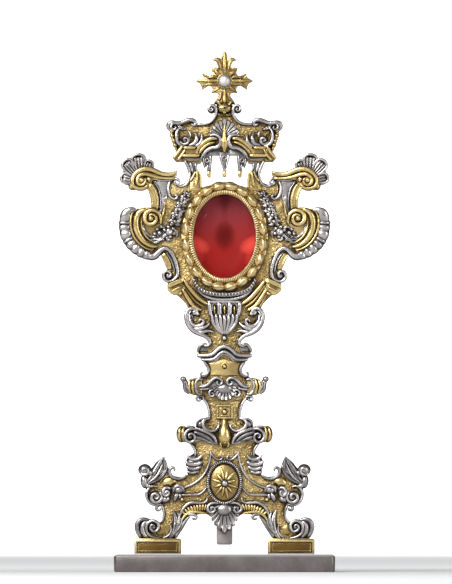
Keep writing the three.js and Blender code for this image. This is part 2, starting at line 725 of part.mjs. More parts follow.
// A closed oval shell from rings of [share of the half sizes, height above the casting's back].
function ovalShell(rings, halfWidth, halfHeight) {
  const profile = rings.map(([share, up]) => new THREE.Vector2(share, up));
  const geometry = new THREE.LatheGeometry(profile, ovalSides);
  geometry.scale(halfWidth, -1, halfHeight);
  geometry.translate(0, backY, windowZ);
  return solidOf(geometry);
}

function domeRings(from, rise, reach, count) {
  const rings = [];
  for (let i = 0; i <= count; i += 1) {
    const share = (i / count) * reach;
    rings.push([share, from + rise * (1 - (i / count) ** 2)]);
  }
  return rings;
}

// Glass: a thin dome with a flat edge that sits behind the bezel's lip.
function makeGlass() {
  const seat = ground - gap;
  const thick = 1.5;
  const rise = 4.6;
  const outside = domeRings(seat, rise, 0.93, 3);
  const inside = domeRings(seat - thick, rise, 0.91, 3).reverse();
  const rings = [...outside, [1, seat], [1, seat - thick], ...inside];
  return ovalShell(rings, holeHalfWidth - gap, holeHalfHeight - gap);
}

// Case: an open oval cup behind the window. Lining: a shallow cloth dish inside it.
const caseBack = -9;
const caseFront = ground - gap - 1.5 - gap;
const caseWall = 1.2;
const caseInner = 1 - caseWall / (holeHalfWidth - gap);
function makeCase() {
  return ovalShell(
    [[0, caseBack], [0.96, caseBack], [1, caseBack + 1.2], [1, caseFront], [caseInner, caseFront],
      [caseInner, caseBack + caseWall], [0, caseBack + caseWall]],
    holeHalfWidth - gap,
    holeHalfHeight - gap,
  );
}
function makeLining() {
  const floor = caseBack + caseWall + gap;
  const thick = 0.9;
  return ovalShell(
    [[0, floor], [0.9, floor], [1, floor + 2], [1, caseFront - 0.4], [0.965, caseFront - 0.4],
      [0.93, floor + 2 + thick], [0.8, floor + thick], [0, floor + thick]],
    (holeHalfWidth - gap) * caseInner - gap,
    (holeHalfHeight - gap) * caseInner - gap,
  );
}

// The cross: a leafy square with three budding arms, on a collar of leaves.
function makeCross() {
  const crossGround = 4.5;
  const outline = plate(
    [
      [[-0.5, 400], [0, 400]],
      [[0, 400], [1.8, 398.4], [2.3, 396], [2.2, 393.6]],
      [[2.2, 393.6], [4.2, 394.8], [6.8, 395], [9.2, 393.2]],
      [[9.2, 393.2], [6.6, 392.2], [5.2, 389]],
      [[5.2, 389], [5.2, 386.6]],
      [[5.2, 386.6], [10, 386.5]],
      [[10, 386.5], [9.6, 384], [10.4, 381.4]],
      [[10.4, 381.4], [13, 380.6], [15.2, 380.8], [16.6, 383.2]],
      [[16.6, 383.2], [17.8, 380.2], [22, 377.2]],
      [[22, 377.2], [18, 374.2], [17.2, 370]],
      [[17.2, 370], [15.6, 373], [12.5, 373.4], [10, 373.2]],
      [[10, 373.2], [10, 367.7]],
      [[10, 367.7], [6.6, 368.2], [4.6, 367.6]],
      [[4.6, 367.6], [4.6, 364]],
      [[4.6, 364], [6.6, 362.6], [8.3, 359]],
      [[8.3, 359], [-0.5, 359]],
      [[-0.5, 359], [-0.5, 400]],
    ],
    crossGround,
  );
  const sideArm = band(
    [[4, 377.1], [12, 377.1], [20.6, 377.2]],
    [5.2, 4.6, 1.8],
    [7.4, 7.4, 5.8],
    crossGround,
  );
  const bud = band(
    [[0, 385], [0, 391], [0, 396], [0, 399.4]],
    [3.2, 3.4, 4, 1.6],
    [7.4, 7, 7, 5.4],
    crossGround,
  );
  const sideBud = band(
    [[3.2, 385], [3.8, 390.4], [5.6, 393.6], [8.6, 393.4]],
    [2.2, 2.2, 2.4, 1],
    [7, 7, 6.6, 5.2],
    crossGround,
  );
  const corners = [[9.2, 385.6], [9.2, 368.6]].map(([x, z]) => {
    const half = (377 + z) / 2;
    const points = [[2.4, half + (z - half) * 0.1], [6, half + (z - half) * 0.55], [x, z]];
    return band(points, [3, 3.6, 1.4], [7.6, 7, 5.4], crossGround);
  });
  const collar = fan(-0.5, 366, -90, -36, 2, [7.6, 10], 7.4, crossGround);
  return bothSides([outline, sideArm, bud, sideBud, ...corners, collar]).trimByPlane([0, 0, 1], 359);
}

function makeCrossBoss() {
  const front = 7.6 + gap;
  const whole = boss(0, 376.8, 4.8, 4.8, front + 3.6, 0, front, 14);
  const behind = new THREE.BoxGeometry(20, 20, 20);
  behind.translate(0, backY - front + 10, 376.8);
  return whole.subtract(solidOf(behind));
}

// The back bar stiffens stem and foot. Its rounded end shows below the shell.
function makeBackBar() {
  const halfWidth = 6.2;
  const bottom = 20.7;
  const top = 212;
  const round = 1.6;
  const thick = 3;
  const shape = new THREE.Shape();
  shape.moveTo(-halfWidth, top);
  shape.lineTo(-halfWidth, bottom + round);
  shape.absarc(-halfWidth + round, bottom + round, round, Math.PI, 1.5 * Math.PI);
  shape.absarc(halfWidth - round, bottom + round, round, 1.5 * Math.PI, 2 * Math.PI);
  shape.lineTo(halfWidth, top);
  return raise(shape, -gap - thick, -gap);
}

const reliquary = new THREE.Group();
const gold = 0xc8a55f;
const silver = 0xa8a4a8;
reliquary.add(
  meshOf("plinth", makePlinth(), 0x7c7274, 0.5, 0.5),
  meshOf("relief", makeRelief(), gold, 1, 0.35),
  meshOf("bezel", makeBezel(), gold, 1, 0.3),
  meshOf("window_glass", makeGlass(), 0xf4f4f4, 0, 0.05),
  meshOf("lining", makeLining(), 0x9b2626, 0, 0.6),
  meshOf("relic_case", makeCase(), 0xa08040, 1, 0.4),
  meshOf("cross", makeCross(), gold, 1, 0.35),
  meshOf("cross_boss", makeCrossBoss(), silver, 1, 0.3),
  meshOf("back_bar", makeBackBar(), 0x6c6460, 0.8, 0.5),
);

export default reliquary;
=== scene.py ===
import math

import bpy
import numpy as np
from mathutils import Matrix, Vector
from mathutils.geometry import tessellate_polygon


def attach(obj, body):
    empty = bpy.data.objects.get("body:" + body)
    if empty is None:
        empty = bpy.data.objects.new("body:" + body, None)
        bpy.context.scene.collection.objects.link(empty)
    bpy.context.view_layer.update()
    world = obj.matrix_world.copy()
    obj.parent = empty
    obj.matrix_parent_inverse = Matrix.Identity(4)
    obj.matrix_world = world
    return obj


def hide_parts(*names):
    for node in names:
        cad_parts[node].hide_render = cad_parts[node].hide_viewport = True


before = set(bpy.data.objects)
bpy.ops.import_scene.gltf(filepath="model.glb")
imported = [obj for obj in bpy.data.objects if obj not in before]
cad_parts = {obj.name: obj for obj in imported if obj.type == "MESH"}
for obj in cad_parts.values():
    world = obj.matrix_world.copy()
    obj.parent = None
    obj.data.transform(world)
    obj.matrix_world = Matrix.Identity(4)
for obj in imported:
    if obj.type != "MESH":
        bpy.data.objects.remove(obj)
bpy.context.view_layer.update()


# The relief's ground: a flat brass casting, about 6 mm thick, gilt all over and finely hammered,
# which carries every scroll and leaf. Sizes are in millimetres, heights are forward of the flat back.
BACK_Y = 3.0
GROUND = 6.0
BEHIND = 0.6
WINDOW_Z = 257
# The last three finishes are darker copies of the gilt, the silvering and the gilt again: painted shade on
# lower, recessed and downward pieces and in the foot blocks' panels.
GILT, SILVERED, STIPPLED, SHADED_GILT, SHADED_SILVER, SHADED_PANEL = range(6)
casting = {"points": [], "faces": [], "metals": [], "count": 0}


def smooth_line(points, step):
    """An evenly stepped curve through a few points, without overshoot at tight bends."""
    points = np.array(points, float)
    if len(points) == 2:
        dense = points
    else:
        ends = np.vstack([2 * points[0] - points[1], points, 2 * points[-1] - points[-2]])
        dense = []
        for k in range(len(points) - 1):
            a, b, c, d = ends[k : k + 4]
            t1 = max(np.linalg.norm(b - a), 1e-6) ** 0.5
            t2 = t1 + max(np.linalg.norm(c - b), 1e-6) ** 0.5
            t3 = t2 + max(np.linalg.norm(d - c), 1e-6) ** 0.5
            t = np.linspace(t1, t2, 17)[:, None]
            ab = (t1 - t) / t1 * a + t / t1 * b
            bc = (t2 - t) / (t2 - t1) * b + (t - t1) / (t2 - t1) * c
            cd = (t3 - t) / (t3 - t2) * c + (t - t2) / (t3 - t2) * d
            abc = (t2 - t) / t2 * ab + t / t2 * bc
            bcd = (t3 - t) / (t3 - t1) * bc + (t - t1) / (t3 - t1) * cd
            dense.extend(((t2 - t) / (t2 - t1) * abc + (t - t1) / (t2 - t1) * bcd)[:-1])
        dense = np.array(dense + [points[-1]])
    run = np.concatenate([[0], np.cumsum(np.linalg.norm(np.diff(dense, axis=0), axis=1))])
    count = max(3, int(round(run[-1] / step)) + 1)
    at = np.linspace(0, run[-1], count)
    return np.stack([np.interp(at, run, dense[:, 0]), np.interp(at, run, dense[:, 1])], 1)


def facing_out(points, faces):
    """The faces, turned round if the solid is inside out."""
    volume = 0.0
    for face in faces:
        for i in range(1, len(face) - 1):
            volume += np.dot(points[face[0]], np.cross(points[face[i]], points[face[i + 1]]))
    return faces if volume > 0 else [face[::-1] for face in faces]


def cast_on(metal, *pieces, both=True):
    """Adds pieces drawn on the right to the casting, and their mirror images on the left."""
    for points, faces in pieces:
        upright = np.stack([points[:, 0], BACK_Y - points[:, 2], points[:, 1]], 1)
        for sign in (1, -1) if both else (1,):
            placed = upright * [sign, 1, 1]
            outward = facing_out(placed, faces)
            start = casting["count"]
            casting["points"].append(placed)
            casting["faces"].extend(tuple(start + i for i in face) for face in outward)
            casting["metals"].extend([metal] * len(faces))
            casting["count"] += len(placed)


def joined(runs, step):
    """A line from runs of points. Each run is a smooth curve that goes on from the end of the last one,
    with a corner in between."""
    parts = [smooth_line(runs[0], step)]
    for before, run in zip(runs, runs[1:]):
        parts.append(smooth_line([before[-1], *run], step)[1:])
    return np.vstack(parts)


def outline_of(*runs):
    """A closed outline from runs of points, closed by a straight line if its ends don't meet."""
    first = runs[0][0]
    if runs[-1][-1] != first:
        runs = [*runs, [first]]
    return joined(runs, 1.5)[1:]


def doubled(*runs, step=1.5):
    """A closed outline from the runs of its right half, which starts and ends on the middle line."""
    half = joined(runs, step)
    return np.vstack([half, half[-2:0:-1] * [-1, 1]])


def drawn_in(outline, by):
    """The outline moved inward, or outward for a hole, with sharp corners kept in bounds."""
    before = outline - np.roll(outline, 1, 0)
    after = np.roll(outline, -1, 0) - outline
    sides = [np.stack([-e[:, 1], e[:, 0]], 1) / np.maximum(np.linalg.norm(e, axis=1), 1e-9)[:, None]
             for e in (before, after)]
    middle = sides[0] + sides[1]
    length = np.maximum(np.linalg.norm(middle, axis=1), 1e-9)
    middle /= length[:, None]
    return outline + middle * (by / np.maximum(length / 2, 0.6))[:, None]


def plate(outline, top, base=BEHIND, soft=0.9, holes=()):
    """A flat plate with softly rounded front edges, and holes if any."""
    loops = []
    for number, loop in enumerate([outline, *holes]):
        x, z = loop[:, 0], loop[:, 1]
        turns_left = np.sum(x * np.roll(z, -1) - z * np.roll(x, -1)) > 0
        loops.append(loop if turns_left == (number == 0) else loop[::-1])
    bends = [(0, base), (0, top - soft)]
    for share in (0.45, 1):
        turn = share * math.pi / 2
        bends.append((soft * (1 - math.cos(turn)), top - soft * (1 - math.sin(turn))))
    points = []
    faces = []
    starts = []
    for loop in loops:
        count = len(loop)
        start = len(points)
        for by, height in bends:
            points.extend([x, z, height] for x, z in drawn_in(loop, by))
        for i in range(len(bends) - 1):
            for j in range(count):
                k = (j + 1) % count
                low = start + i * count
                faces.append((low + j, low + k, low + count + k, low + count + j))
        starts.append((start, count))
    for level in (0, len(bends) - 1):
        index = [start + level * count + j for start, count in starts for j in range(count)]
        flat = [[Vector((*points[start + level * count + j][:2], 0)) for j in range(count)]
                for start, count in starts]
        for face in tessellate_polygon(flat):
            corners = [index[i] for i in face]
            a, b, c = (np.array(points[i][:2]) for i in corners)
            left = (b[0] - a[0]) * (c[1] - a[1]) - (b[1] - a[1]) * (c[0] - a[0]) > 0
            faces.append(tuple(corners if left == (level > 0) else corners[::-1]))
    return np.array(points), faces


def ring_of(x, z, half_width, half_height, sides=40):
    """An oval outline."""
    turn = np.linspace(0, 2 * math.pi, sides, endpoint=False)
    return np.stack([x + half_width * np.cos(turn), z + half_height * np.sin(turn)], 1)


head_ground = doubled(
    [(0, 149), (15, 149)],
    [(11.9, 151.6), (11, 155.4), (14.7, 159.4), (20, 166.3)],
    [(19.4, 169.4), (13.4, 171.6), (11.4, 176)],
    [(16.6, 182.6), (23, 189), (24.6, 200)],
    [(27, 202.5), (31, 207), (36.5, 212.2)],
    [(40, 212.8), (43.5, 216)],
    [(43.4, 221.6), (42, 226), (41.6, 231)],
    [(44, 237.6), (47.4, 243)],
    [(55, 243)],
    [(64, 248), (70, 256), (71.5, 268), (70, 277.4)],
    [(65, 275.8), (60, 277.2), (56.4, 278.4)],
    [(56.4, 284), (57.4, 289), (58.6, 292.8), (58, 300.4)],
    [(38, 300.4)],
    [(37.4, 298.3), (34, 295.8), (30.5, 296.8), (27, 301)],
    [(17.6, 302)],
    [(17.6, 295)],
    [(0, 297.4)],
)
cast_on(STIPPLED, plate(head_ground, GROUND, base=0, holes=[ring_of(0, WINDOW_Z, 25.6, 34)]), both=False)

canopy_ground = doubled(
    [(0, 322.6), (4, 324), (11, 323.8), (15.5, 320), (17.4, 315)],
    [(37, 314.6)],
    [(38.8, 316.4)],
    [(36.8, 322)],
    [(39.6, 330), (41, 337), (42, 343.6)],
    [(34, 344.6), (30, 346), (24.5, 347), (21.4, 342.6)],
    [(15, 343), (10.5, 345), (6.8, 352), (6, 359)],
    [(0, 359)],
)
cast_on(STIPPLED, plate(canopy_ground, GROUND, base=0), both=False)

stem_ground = doubled(
    [(0, 87), (22, 87)],
    [(22.4, 93), (25, 97.6), (30, 99.6), (34.8, 100)],
    [(36, 105.6), (34.4, 110.4), (30, 112)],
    [(22, 110.9), (18, 115), (12.6, 117.4)],
    [(11, 119), (11.6, 124), (13.2, 128.6), (15.4, 131.8)],
    [(19, 131.8), (21.6, 135.4), (26.4, 136)],
    [(27.4, 142), (26, 147.4)],
    [(22, 148.6), (17, 148.2), (14, 150)],
    [(0, 150)],
)
cast_on(STIPPLED, plate(stem_ground, GROUND - 0.2, base=0.15), both=False)

foot_ground = doubled(
    [(0, 40), (8, 41)],
    [(11, 42.4), (15, 44.6), (20, 43.8), (25.6, 43.6)],
    [(28.6, 40.6), (30, 37), (32, 33.2), (35, 30.6), (37.3, 28)],
    [(37.3, 24)],
    [(63.4, 24)],
    [(62, 30), (58, 36), (50, 38)],
    [(47.6, 42), (47.6, 46), (49, 51)],
    [(56, 54), (60, 60), (60, 70)],
    [(54, 76), (48.4, 79), (43.6, 81)],
    [(42, 77), (40.4, 73.6), (36, 71), (32, 71.6), (28.4, 74)],
    [(28.6, 82), (27, 88), (22, 92)],
    [(0, 92)],
)
cast_on(STIPPLED, plate(foot_ground, GROUND - 0.1, base=0.05), both=False)


# Canopy of the relief: neck scrolls, shoulders, a cornice with an arched middle, a small shell and a
# nose, all cast in one with the ground. The leaves and scrolls are silvered, the mouldings gilt.
half_turn = np.linspace(math.pi, 0, 8)
ROUND = np.stack([np.cos(half_turn), np.sin(half_turn) ** 0.75], 1)
FLAT = np.array([[-1, 0], [-1, 0.7], [-0.93, 0.9], [-0.8, 1], [0, 0.97], [0.8, 1], [0.93, 0.9], [1, 0.7],
                 [1, 0]])


def along(values, shares):
    """A value, or an evenly spaced list of them, read at places from 0 to 1."""
    values = np.atleast_1d(np.array(values, float))
    return np.interp(shares, np.linspace(0, 1, len(values)), values)


def ring_faces(rows, columns):
    """Faces between rings of points that follow each other, with a cap on the first and the last ring."""
    faces = []
    for i in range(rows - 1):
        for j in range(columns):
            k = (j + 1) % columns
            faces.append((i * columns + j, i * columns + k, (i + 1) * columns + k, (i + 1) * columns + j))
    faces.append(tuple(range(columns - 1, -1, -1)))
    faces.append(tuple((rows - 1) * columns + j for j in range(columns)))
    return faces


def closed_skin(xz, height):
    """Points and faces of a closed solid from a grid of places and heights, one row after another."""
    return np.concatenate([xz, height[:, :, None]], 2).reshape(-1, 3), ring_faces(*height.shape)


def fan_skin(xz, height):
    """The same for rings round one middle point, from the middle out, closed at the back."""
    rings, columns = height.shape
    points = np.concatenate([xz, height[:, :, None]], 2).reshape(-1, 3)
    middle = len(points)
    points = np.vstack([points, [*xz[0].mean(0), height[0].mean()]])
    faces = []
    for j in range(columns):
        k = (j + 1) % columns
        faces.append((middle, j, k))
        for i in range(rings - 1):
            faces.append((i * columns + j, (i + 1) * columns + j, (i + 1) * columns + k, i * columns + k))
    faces.append(tuple((rings - 1) * columns + j for j in range(columns - 1, -1, -1)))
    return points, faces


def laid_along(line, step):
    """Points of a curve, what lies to the left of each, and their shares of its run."""
    path = smooth_line(line, step)
    ahead = np.gradient(path, axis=0)
    ahead /= np.maximum(np.linalg.norm(ahead, axis=1), 1e-9)[:, None]
    return path, np.stack([-ahead[:, 1], ahead[:, 0]], 1), np.linspace(0, 1, len(path))


def band(line, widths, tops, profile=ROUND, base=BEHIND, step=1.2, blunt=True, notch=0):
    """A moulding that follows a curve. Its ends are rounded, and it may be notched across its run."""
    path, left, shares = laid_along(line, step)
    length = np.sum(np.linalg.norm(np.diff(path, axis=0), axis=1))
    half = along(widths, shares) / 2
    top = along(tops, shares)
    depth = np.minimum(top - base, 1.15 * half)
    if blunt:
        reach = np.minimum(shares, 1 - shares) * length / np.maximum(half, 0.3)
        fade = np.sqrt(1 - (1 - np.clip(reach + 0.12, 0, 1)) ** 2)
        half = half * (0.35 + 0.65 * fade)
        top = top - depth * 0.7 * (1 - fade)
    if notch:
        notch_depth = 0.2
        wave = np.abs(np.sin(math.pi * shares * length / notch))
        top = top - notch_depth * (top - GROUND) * (1 - wave) ** 1.5
        half = half * (1 - 0.35 * notch_depth * (1 - wave) ** 1.5)
    across, up = profile[:, 0], profile[:, 1]
    xz = path[:, None, :] + left[:, None, :] * (half[:, None] * across[None, :])[:, :, None]
    height = top[:, None] - depth[:, None] * (1 - up)[None, :]
    height = np.where(up[None, :] > 0, np.maximum(height, base), base)
    return closed_skin(xz, height)


def leaf(line, widths, tops, lobes=4, base=BEHIND):
    """A leaf along a curve, with lobed edges, a sunk middle vein and flutes that lean to the tip."""
    path, left, shares = laid_along(line, 0.9)
    across = np.linspace(-1, 1, 13)
    lobe = np.abs(np.sin(math.pi * lobes * shares)) ** 0.7 if lobes else np.ones_like(shares)
    lobe_depth = 0.24
    half = along(widths, shares) / 2 * (1 - lobe_depth + lobe_depth * lobe)
    top = along(tops, shares)
    flute = np.cos(2 * math.pi * lobes * (shares[:, None] - 0.28 * np.abs(across)[None, :]))
    up = (1 - 0.5 * np.abs(across) ** 2.2)[None, :] * (0.9 - 0.1 * flute * np.abs(across)[None, :] ** 0.5)
    vein_depth = 0.16
    vein_half = 0.14
    up = up - vein_depth * np.exp(-((across / vein_half) ** 2))[None, :]
    up[:, 0] = 0
    up[:, -1] = 0
    xz = path[:, None, :] + left[:, None, :] * (half[:, None] * across[None, :])[:, :, None]
    depth = np.minimum(top - base, 1.9 * half)
    height = np.where(up > 0, np.maximum(top[:, None] - depth[:, None] * (1 - up), base), base)
    return closed_skin(xz, height)


def dome(x, z, half_width, half_height, top, base=BEHIND, tilt=0, sides=18, pit=0.0, ribs=0):
    """A round or oval boss, with a sunk eye or with ribs if asked."""
    share = np.array([0.14, 0.36, 0.58, 0.76, 0.9, 0.97, 1, 1])
    rise = np.sqrt(np.clip(1 - share**2, 0, 1))
    rise[-2:] = [0.12, 0]
    eye = np.exp(-((share / 0.32) ** 4))
    turn = np.linspace(0, 2 * math.pi, sides, endpoint=False)
    rib_depth = 0.2
    out = share[:, None] * (1 - rib_depth * (1 - np.abs(np.sin(ribs / 2 * turn)))[None, :] if ribs else 1.0)
    out = out * np.ones_like(turn)[None, :]
    ride = min(max(top - max(base, GROUND - 1), 0.5), 1.15 * min(half_width, half_height))
    height = (rise[:, None] - pit * eye[:, None]) * np.ones_like(turn)[None, :]
    height = np.where(share[:, None] < 1, top - ride + ride * height, np.array([[top - ride]]))
    height[-1, :] = base
    a = math.radians(tilt)
    wide = out * half_width * np.cos(turn)[None, :]
    tall = out * half_height * np.sin(turn)[None, :]
    xz = np.stack([x + wide * math.cos(a) - tall * math.sin(a),
                   z + wide * math.sin(a) + tall * math.cos(a)], 2)
    return fan_skin(xz, height)


def spiral(x, z, from_radius, to_radius, from_angle, turn, squeeze=1.0):
    """Points of a curl that winds about its eye. Angles are in degrees, 0 to the right and 90 up."""
    count = max(4, int(abs(turn) / 30))
    share = np.linspace(0, 1, count + 1)
    angle = np.radians(from_angle + turn * share)
    radius = from_radius + (to_radius - from_radius) * share
    return [(x + r * math.cos(a) * squeeze, z + r * math.sin(a)) for r, a in zip(radius, angle)]


def shell(x, z, from_angle, to_angle, ribs, reach, top, flare=1.0, sink=1.6):
    """A fluted shell: broad ribs spread from one point and end in a thick, ruffled rim."""
    sides = 10 * ribs + 1
    share = np.linspace(0, 1, sides)
    angle = np.radians(from_angle + (to_angle - from_angle) * share)
    wave = np.abs(np.sin(math.pi * ribs * share)) ** 0.5
    scoop = np.abs(np.sin(math.pi * ribs * share)) ** 4
    out = along(reach, share) * (0.86 + 0.14 * wave)
    rows = np.array([0.1, 0.25, 0.42, 0.58, 0.72, 0.83, 0.91, 0.96, 0.99, 1, 1])
    lift = np.array([0.86, 0.9, 0.92, 0.93, 0.94, 0.955, 0.985, 1, 0.95, 0.84, 0])
    groove = np.array([0.1, 0.45, 0.75, 0.95, 1, 0.95, 0.8, 0.7, 0.6, 0.5, 0])
    hollow = np.array([0, 0, 0.1, 0.35, 0.6, 0.6, 0.2, 0, 0, 0, 0])
    height = BEHIND + (top - BEHIND) * lift[:, None] - sink * groove[:, None] * (1 - wave)[None, :]
    height = height - flare * hollow[:, None] * scoop[None, :]
    height[-1, :] = BEHIND
    radius = rows[:, None] * out[None, :]
    xz = np.stack([x + radius * np.cos(angle)[None, :], z + radius * np.sin(angle)[None, :]], 2)
    points = np.concatenate([xz, height[:, :, None]], 2).reshape(-1, 3)
    middle = len(points)
    points = np.vstack([points, [x, z, BEHIND + (top - BEHIND) * 0.8], [x, z, BEHIND]])
    count = len(rows)
    faces = []
    for j in range(sides - 1):
        faces.append((middle, j, j + 1))
        for i in range(count - 1):
            faces.append((i * sides + j, (i + 1) * sides + j, (i + 1) * sides + j + 1, i * sides + j + 1))
        faces.append((middle + 1, (count - 1) * sides + j + 1, (count - 1) * sides + j))
    first = [i * sides for i in range(count)]
    final = [i * sides + sides - 1 for i in range(count)]
    faces.append(tuple([middle, middle + 1] + first[::-1]))
    faces.append(tuple([middle + 1, middle] + final))
    return points, faces


def petal(x0, z0, x1, z1, width, top, rim=1.5, ridges=1):
    """A lobe of a shell: a sunk leaf with a thick raised rim round its end and ridges up its middle."""
    length = math.hypot(x1 - x0, z1 - z0)
    ax, az = (x1 - x0) / length, (z1 - z0) / length

    def at(share, across):
        return x0 + ax * share * length - az * across, z0 + az * share * length + ax * across

    half = (width - rim) / 2
    edge = [(0.15, 0.45), (0.45, 0.8), (0.68, 1), (0.86, 0.86), (0.95, 0.45)]
    outline = [at(s, -half * a) for s, a in edge] + [at(0.97, 0)] + [at(s, half * a) for s, a in edge[::-1]]
    pieces = [
        band([at(0, 0), at(0.35, 0), at(0.7, 0), at(0.95, 0)],
             [width * 0.5, width * 0.85, width, width * 0.7], top - 1.8, FLAT),
        band(outline, [0.8, rim, rim * 1.15, rim * 1.2, rim * 1.15, rim, 0.8],
             [top - 0.8, top, top + 0.4, top, top - 0.8]),
    ]
    for i in range(ridges):
        lean = (i - (ridges - 1) / 2) * 2 * half / (ridges + 1)
        pieces.append(band([at(0.12, lean * 0.4), at(0.5, lean * 0.85), at(0.84, lean)],
                           [0.7, rim * 0.75, rim * 0.6], [top - 0.5, top - 0.2, top - 0.5]))
    return pieces


neck_curl = spiral(10, 355.2, 0.9, 3.3, -200, 370)
cornice_beads = [(40.4, 338.4), (40.2, 334.6), (38.9, 330.8), (37.9, 327.4)]
cast_on(
    SILVERED,
    band(neck_curl + [(6.6, 352), (7.4, 349.6), (9.2, 346.7), (11.8, 344.7), (15.4, 343.6), (21.6, 343.2)],
         [1.2, 1.7, 2.2, 2.7, 2.6, 2.4, 2.2, 2], [10.6, 10, 9.4, 9, 8.6]),
    dome(10, 355.2, 3.2, 3.2, 8.4),
    band([(41.6, 338.4), (43, 341), (42.6, 343.8), (40.4, 344.6), (37, 344.2), (33.8, 344.4), (30, 345.9),
          (26.2, 346.8), (23.2, 345.8), (22.2, 343.8), (23.8, 342.4), (25.6, 343.6)],
         [2, 3.4, 3.8, 3.6, 3.2, 3, 3.2, 3.4, 3.2, 2.6, 1.8],
         [9, 10, 10.6, 10.4, 10, 10.6, 10.6, 10.2, 10.6]),
    band(spiral(38.6, 341, 3.2, 0.8, 100, -330), [2, 2, 1.4], [10.2, 11, 11.4]),
    leaf([(35.8, 344), (34.6, 341.4), (32.6, 340.2), (29.4, 339.6)], [2.6, 4, 3.8, 1.4],
         [8.8, 9.8, 9.2, 7.8], 2),
    band(spiral(30.1, 331.2, 0.8, 4, 10, 330) + [(33.6, 327.6)], [1.6, 2, 2.4, 2.6, 2, 1.4],
         [11.6, 10.8, 10.2, 9.4]),
    dome(30.1, 331.2, 3.4, 3.6, 9),
)
cast_on(
    SILVERED,
    band([(27.4, 327), (23.6, 328.2), (21.6, 331), (21.5, 334.2), (23, 337.2)], [1.6, 3.4, 3.6, 3, 0.9],
         [11, 11.6, 11.4, 9]),
    band([(25, 326.6), (20.6, 327.2), (18, 329.8), (17.2, 333), (18, 336.2)], [1.6, 3, 3.2, 2.6, 0.8],
         [10, 10.6, 10.4, 8.4]),
    band([(21.6, 326.4), (17, 327.4), (14.6, 330.4), (14, 333)], [1.4, 2.4, 2.2, 0.8], [9, 9.4, 8]),
    band([(26.4, 333.4), (26.2, 335.8), (27.6, 338.2)], [1.4, 2, 0.8], [9.6, 8.6]),
    band([(34, 340.8), (36.4, 338.2), (37, 334), (36, 329.8), (33.2, 327), (29.8, 326.2)],
         [1.2, 2.2, 2.6, 2.8, 2.6, 1.4], [9.4, 10.6, 11, 10.4]),
)
# The slanting and level cornice bars take the darker gilt: painted shade on their undersides.
cast_on(
    SHADED_GILT,
    band([(31.6, 325), (34.2, 320.8), (37.6, 316.2)], 4.6, 10.4, FLAT),
    band([(32, 322), (20.4, 322)], 5, 9.6, FLAT),
)
cast_on(
    GILT,
    band([(41.4, 340), (40.6, 335.6), (39.4, 331), (37.6, 326), (36.4, 323)], [2, 2.2, 2.4, 2.2, 1.8], 8.6),
    band([(35.8, 341.6), (36.2, 337), (35.8, 331.6), (34.4, 327)], [1.2, 1.8, 1.8, 1.2], 8),
    *[dome(x, z, 1.5, 1.9, 9.6, tilt=-65) for x, z in cornice_beads],
    band([(32.4, 326.6), (35.4, 321.8), (39.4, 316.8)], [2, 2.6, 2.6], 12.8),
    band([(30.2, 323.8), (32.8, 319.6), (36, 315.4)], [1.6, 2.2, 2.2], 11.6),
    band([(31.6, 325), (26, 325.2), (22.4, 325.2)], 2.6, 12),
    band([(32.6, 319), (26, 319.2), (19.4, 319.2)], 2.8, 11.6),
    band([(22.6, 319.6), (20.6, 324.2), (17.6, 327.7), (13.8, 330.6), (9.8, 332.4), (5.8, 332.2)],
         [1.4, 3, 3.6, 3.6, 3.4, 2.8], [8, 10, 10.6, 10.8, 10.8]),
    band([(20.8, 318.8), (18.4, 322.8), (15.2, 326.2), (11.6, 328.4), (7.2, 329.6)],
         [1.2, 2.8, 3, 3, 2], [7.6, 9.2, 9.4, 9.4, 9.2]),
    dome(0, 355.8, 6.7, 4.7, 9.7, sides=28),
    band([(6.4, 351.2), (0, 350.3), (-6.4, 351.2)], 1.8, 8.2),
    leaf([(3.4, 358), (4.8, 360.6), (6.6, 362.4)], [2, 3.2, 1], [9.4, 9.8, 8], 2),
)
cast_on(
    SILVERED,
    band([(18.4, 316.6), (16.4, 320.2), (13.2, 323.4), (9.6, 325.2), (6.2, 325.4), (3.9, 327.4),
          (3.1, 330.4), (3.8, 333.2), (6.2, 334.9), (9, 335.2), (11.4, 334.2)],
         [1.4, 2.4, 2.8, 2.8, 3.2, 3.6, 3.4, 3, 2.6, 2.2, 1.4],
         [8, 8.8, 9.8, 10.6, 11.2, 12, 12, 11.6, 11]),
    *petal(5.4, 336.4, 11.2, 337.2, 2.8, 10.4, rim=0.9),
)
cast_on(
    SILVERED,
    shell(0, 334, 14, 166, 9, [11.6, 11.4, 12.6, 12, 14, 12, 12.6, 11.4, 11.6], 10.6, sink=2),
    both=False,
)
cast_on(
    GILT,
    leaf([(0, 342.4), (0, 338), (0, 334)], [1, 3, 2.4], [10.6, 11.6, 11], 0),
    leaf([(0, 338), (0, 333), (0, 328.4), (0, 324.6), (0, 321.8)], [2, 4.6, 7.2, 7, 2.4],
         [11, 12.6, 14.4, 13.4, 9], 0),
    dome(0, 352.4, 1.4, 1.1, 9.4, pit=0.6, sides=16),
    both=False,
)


# Underside of the canopy: a flat silvered soffit, three pierced drops with gilt tips, and two ribbed
# supports with gilt fins that reach down to the window's frame.
soffit = outline_of(
    [(31.4, 317.8), (17.8, 318.6)],
    [(16.4, 321.6), (13, 324.8), (9, 326), (0, 326)],
    [(0, 319.6)],
    [(9.2, 319.6)],
    [(9.8, 314), (10.2, 310), (10.4, 305.6)],
    [(13.4, 305.6)],
    [(13.8, 311.6)],
    [(15.6, 310)],
    [(17, 314), (17.6, 317)],
    [(18.2, 313.4)],
    [(21.4, 313), (28.6, 313)],
)
# The soffit takes the darker silvering: painted shade under the cornice.
cast_on(SHADED_SILVER, plate(soffit, 4.8, soft=0.6))
middle_drop = doubled(
    [(0, 304.4), (1.1, 306)],
    [(1.3, 311), (2.6, 314.6), (3.8, 317), (4, 320.6)],
    [(4, 322.4)],
    [(0, 322.4)],
)
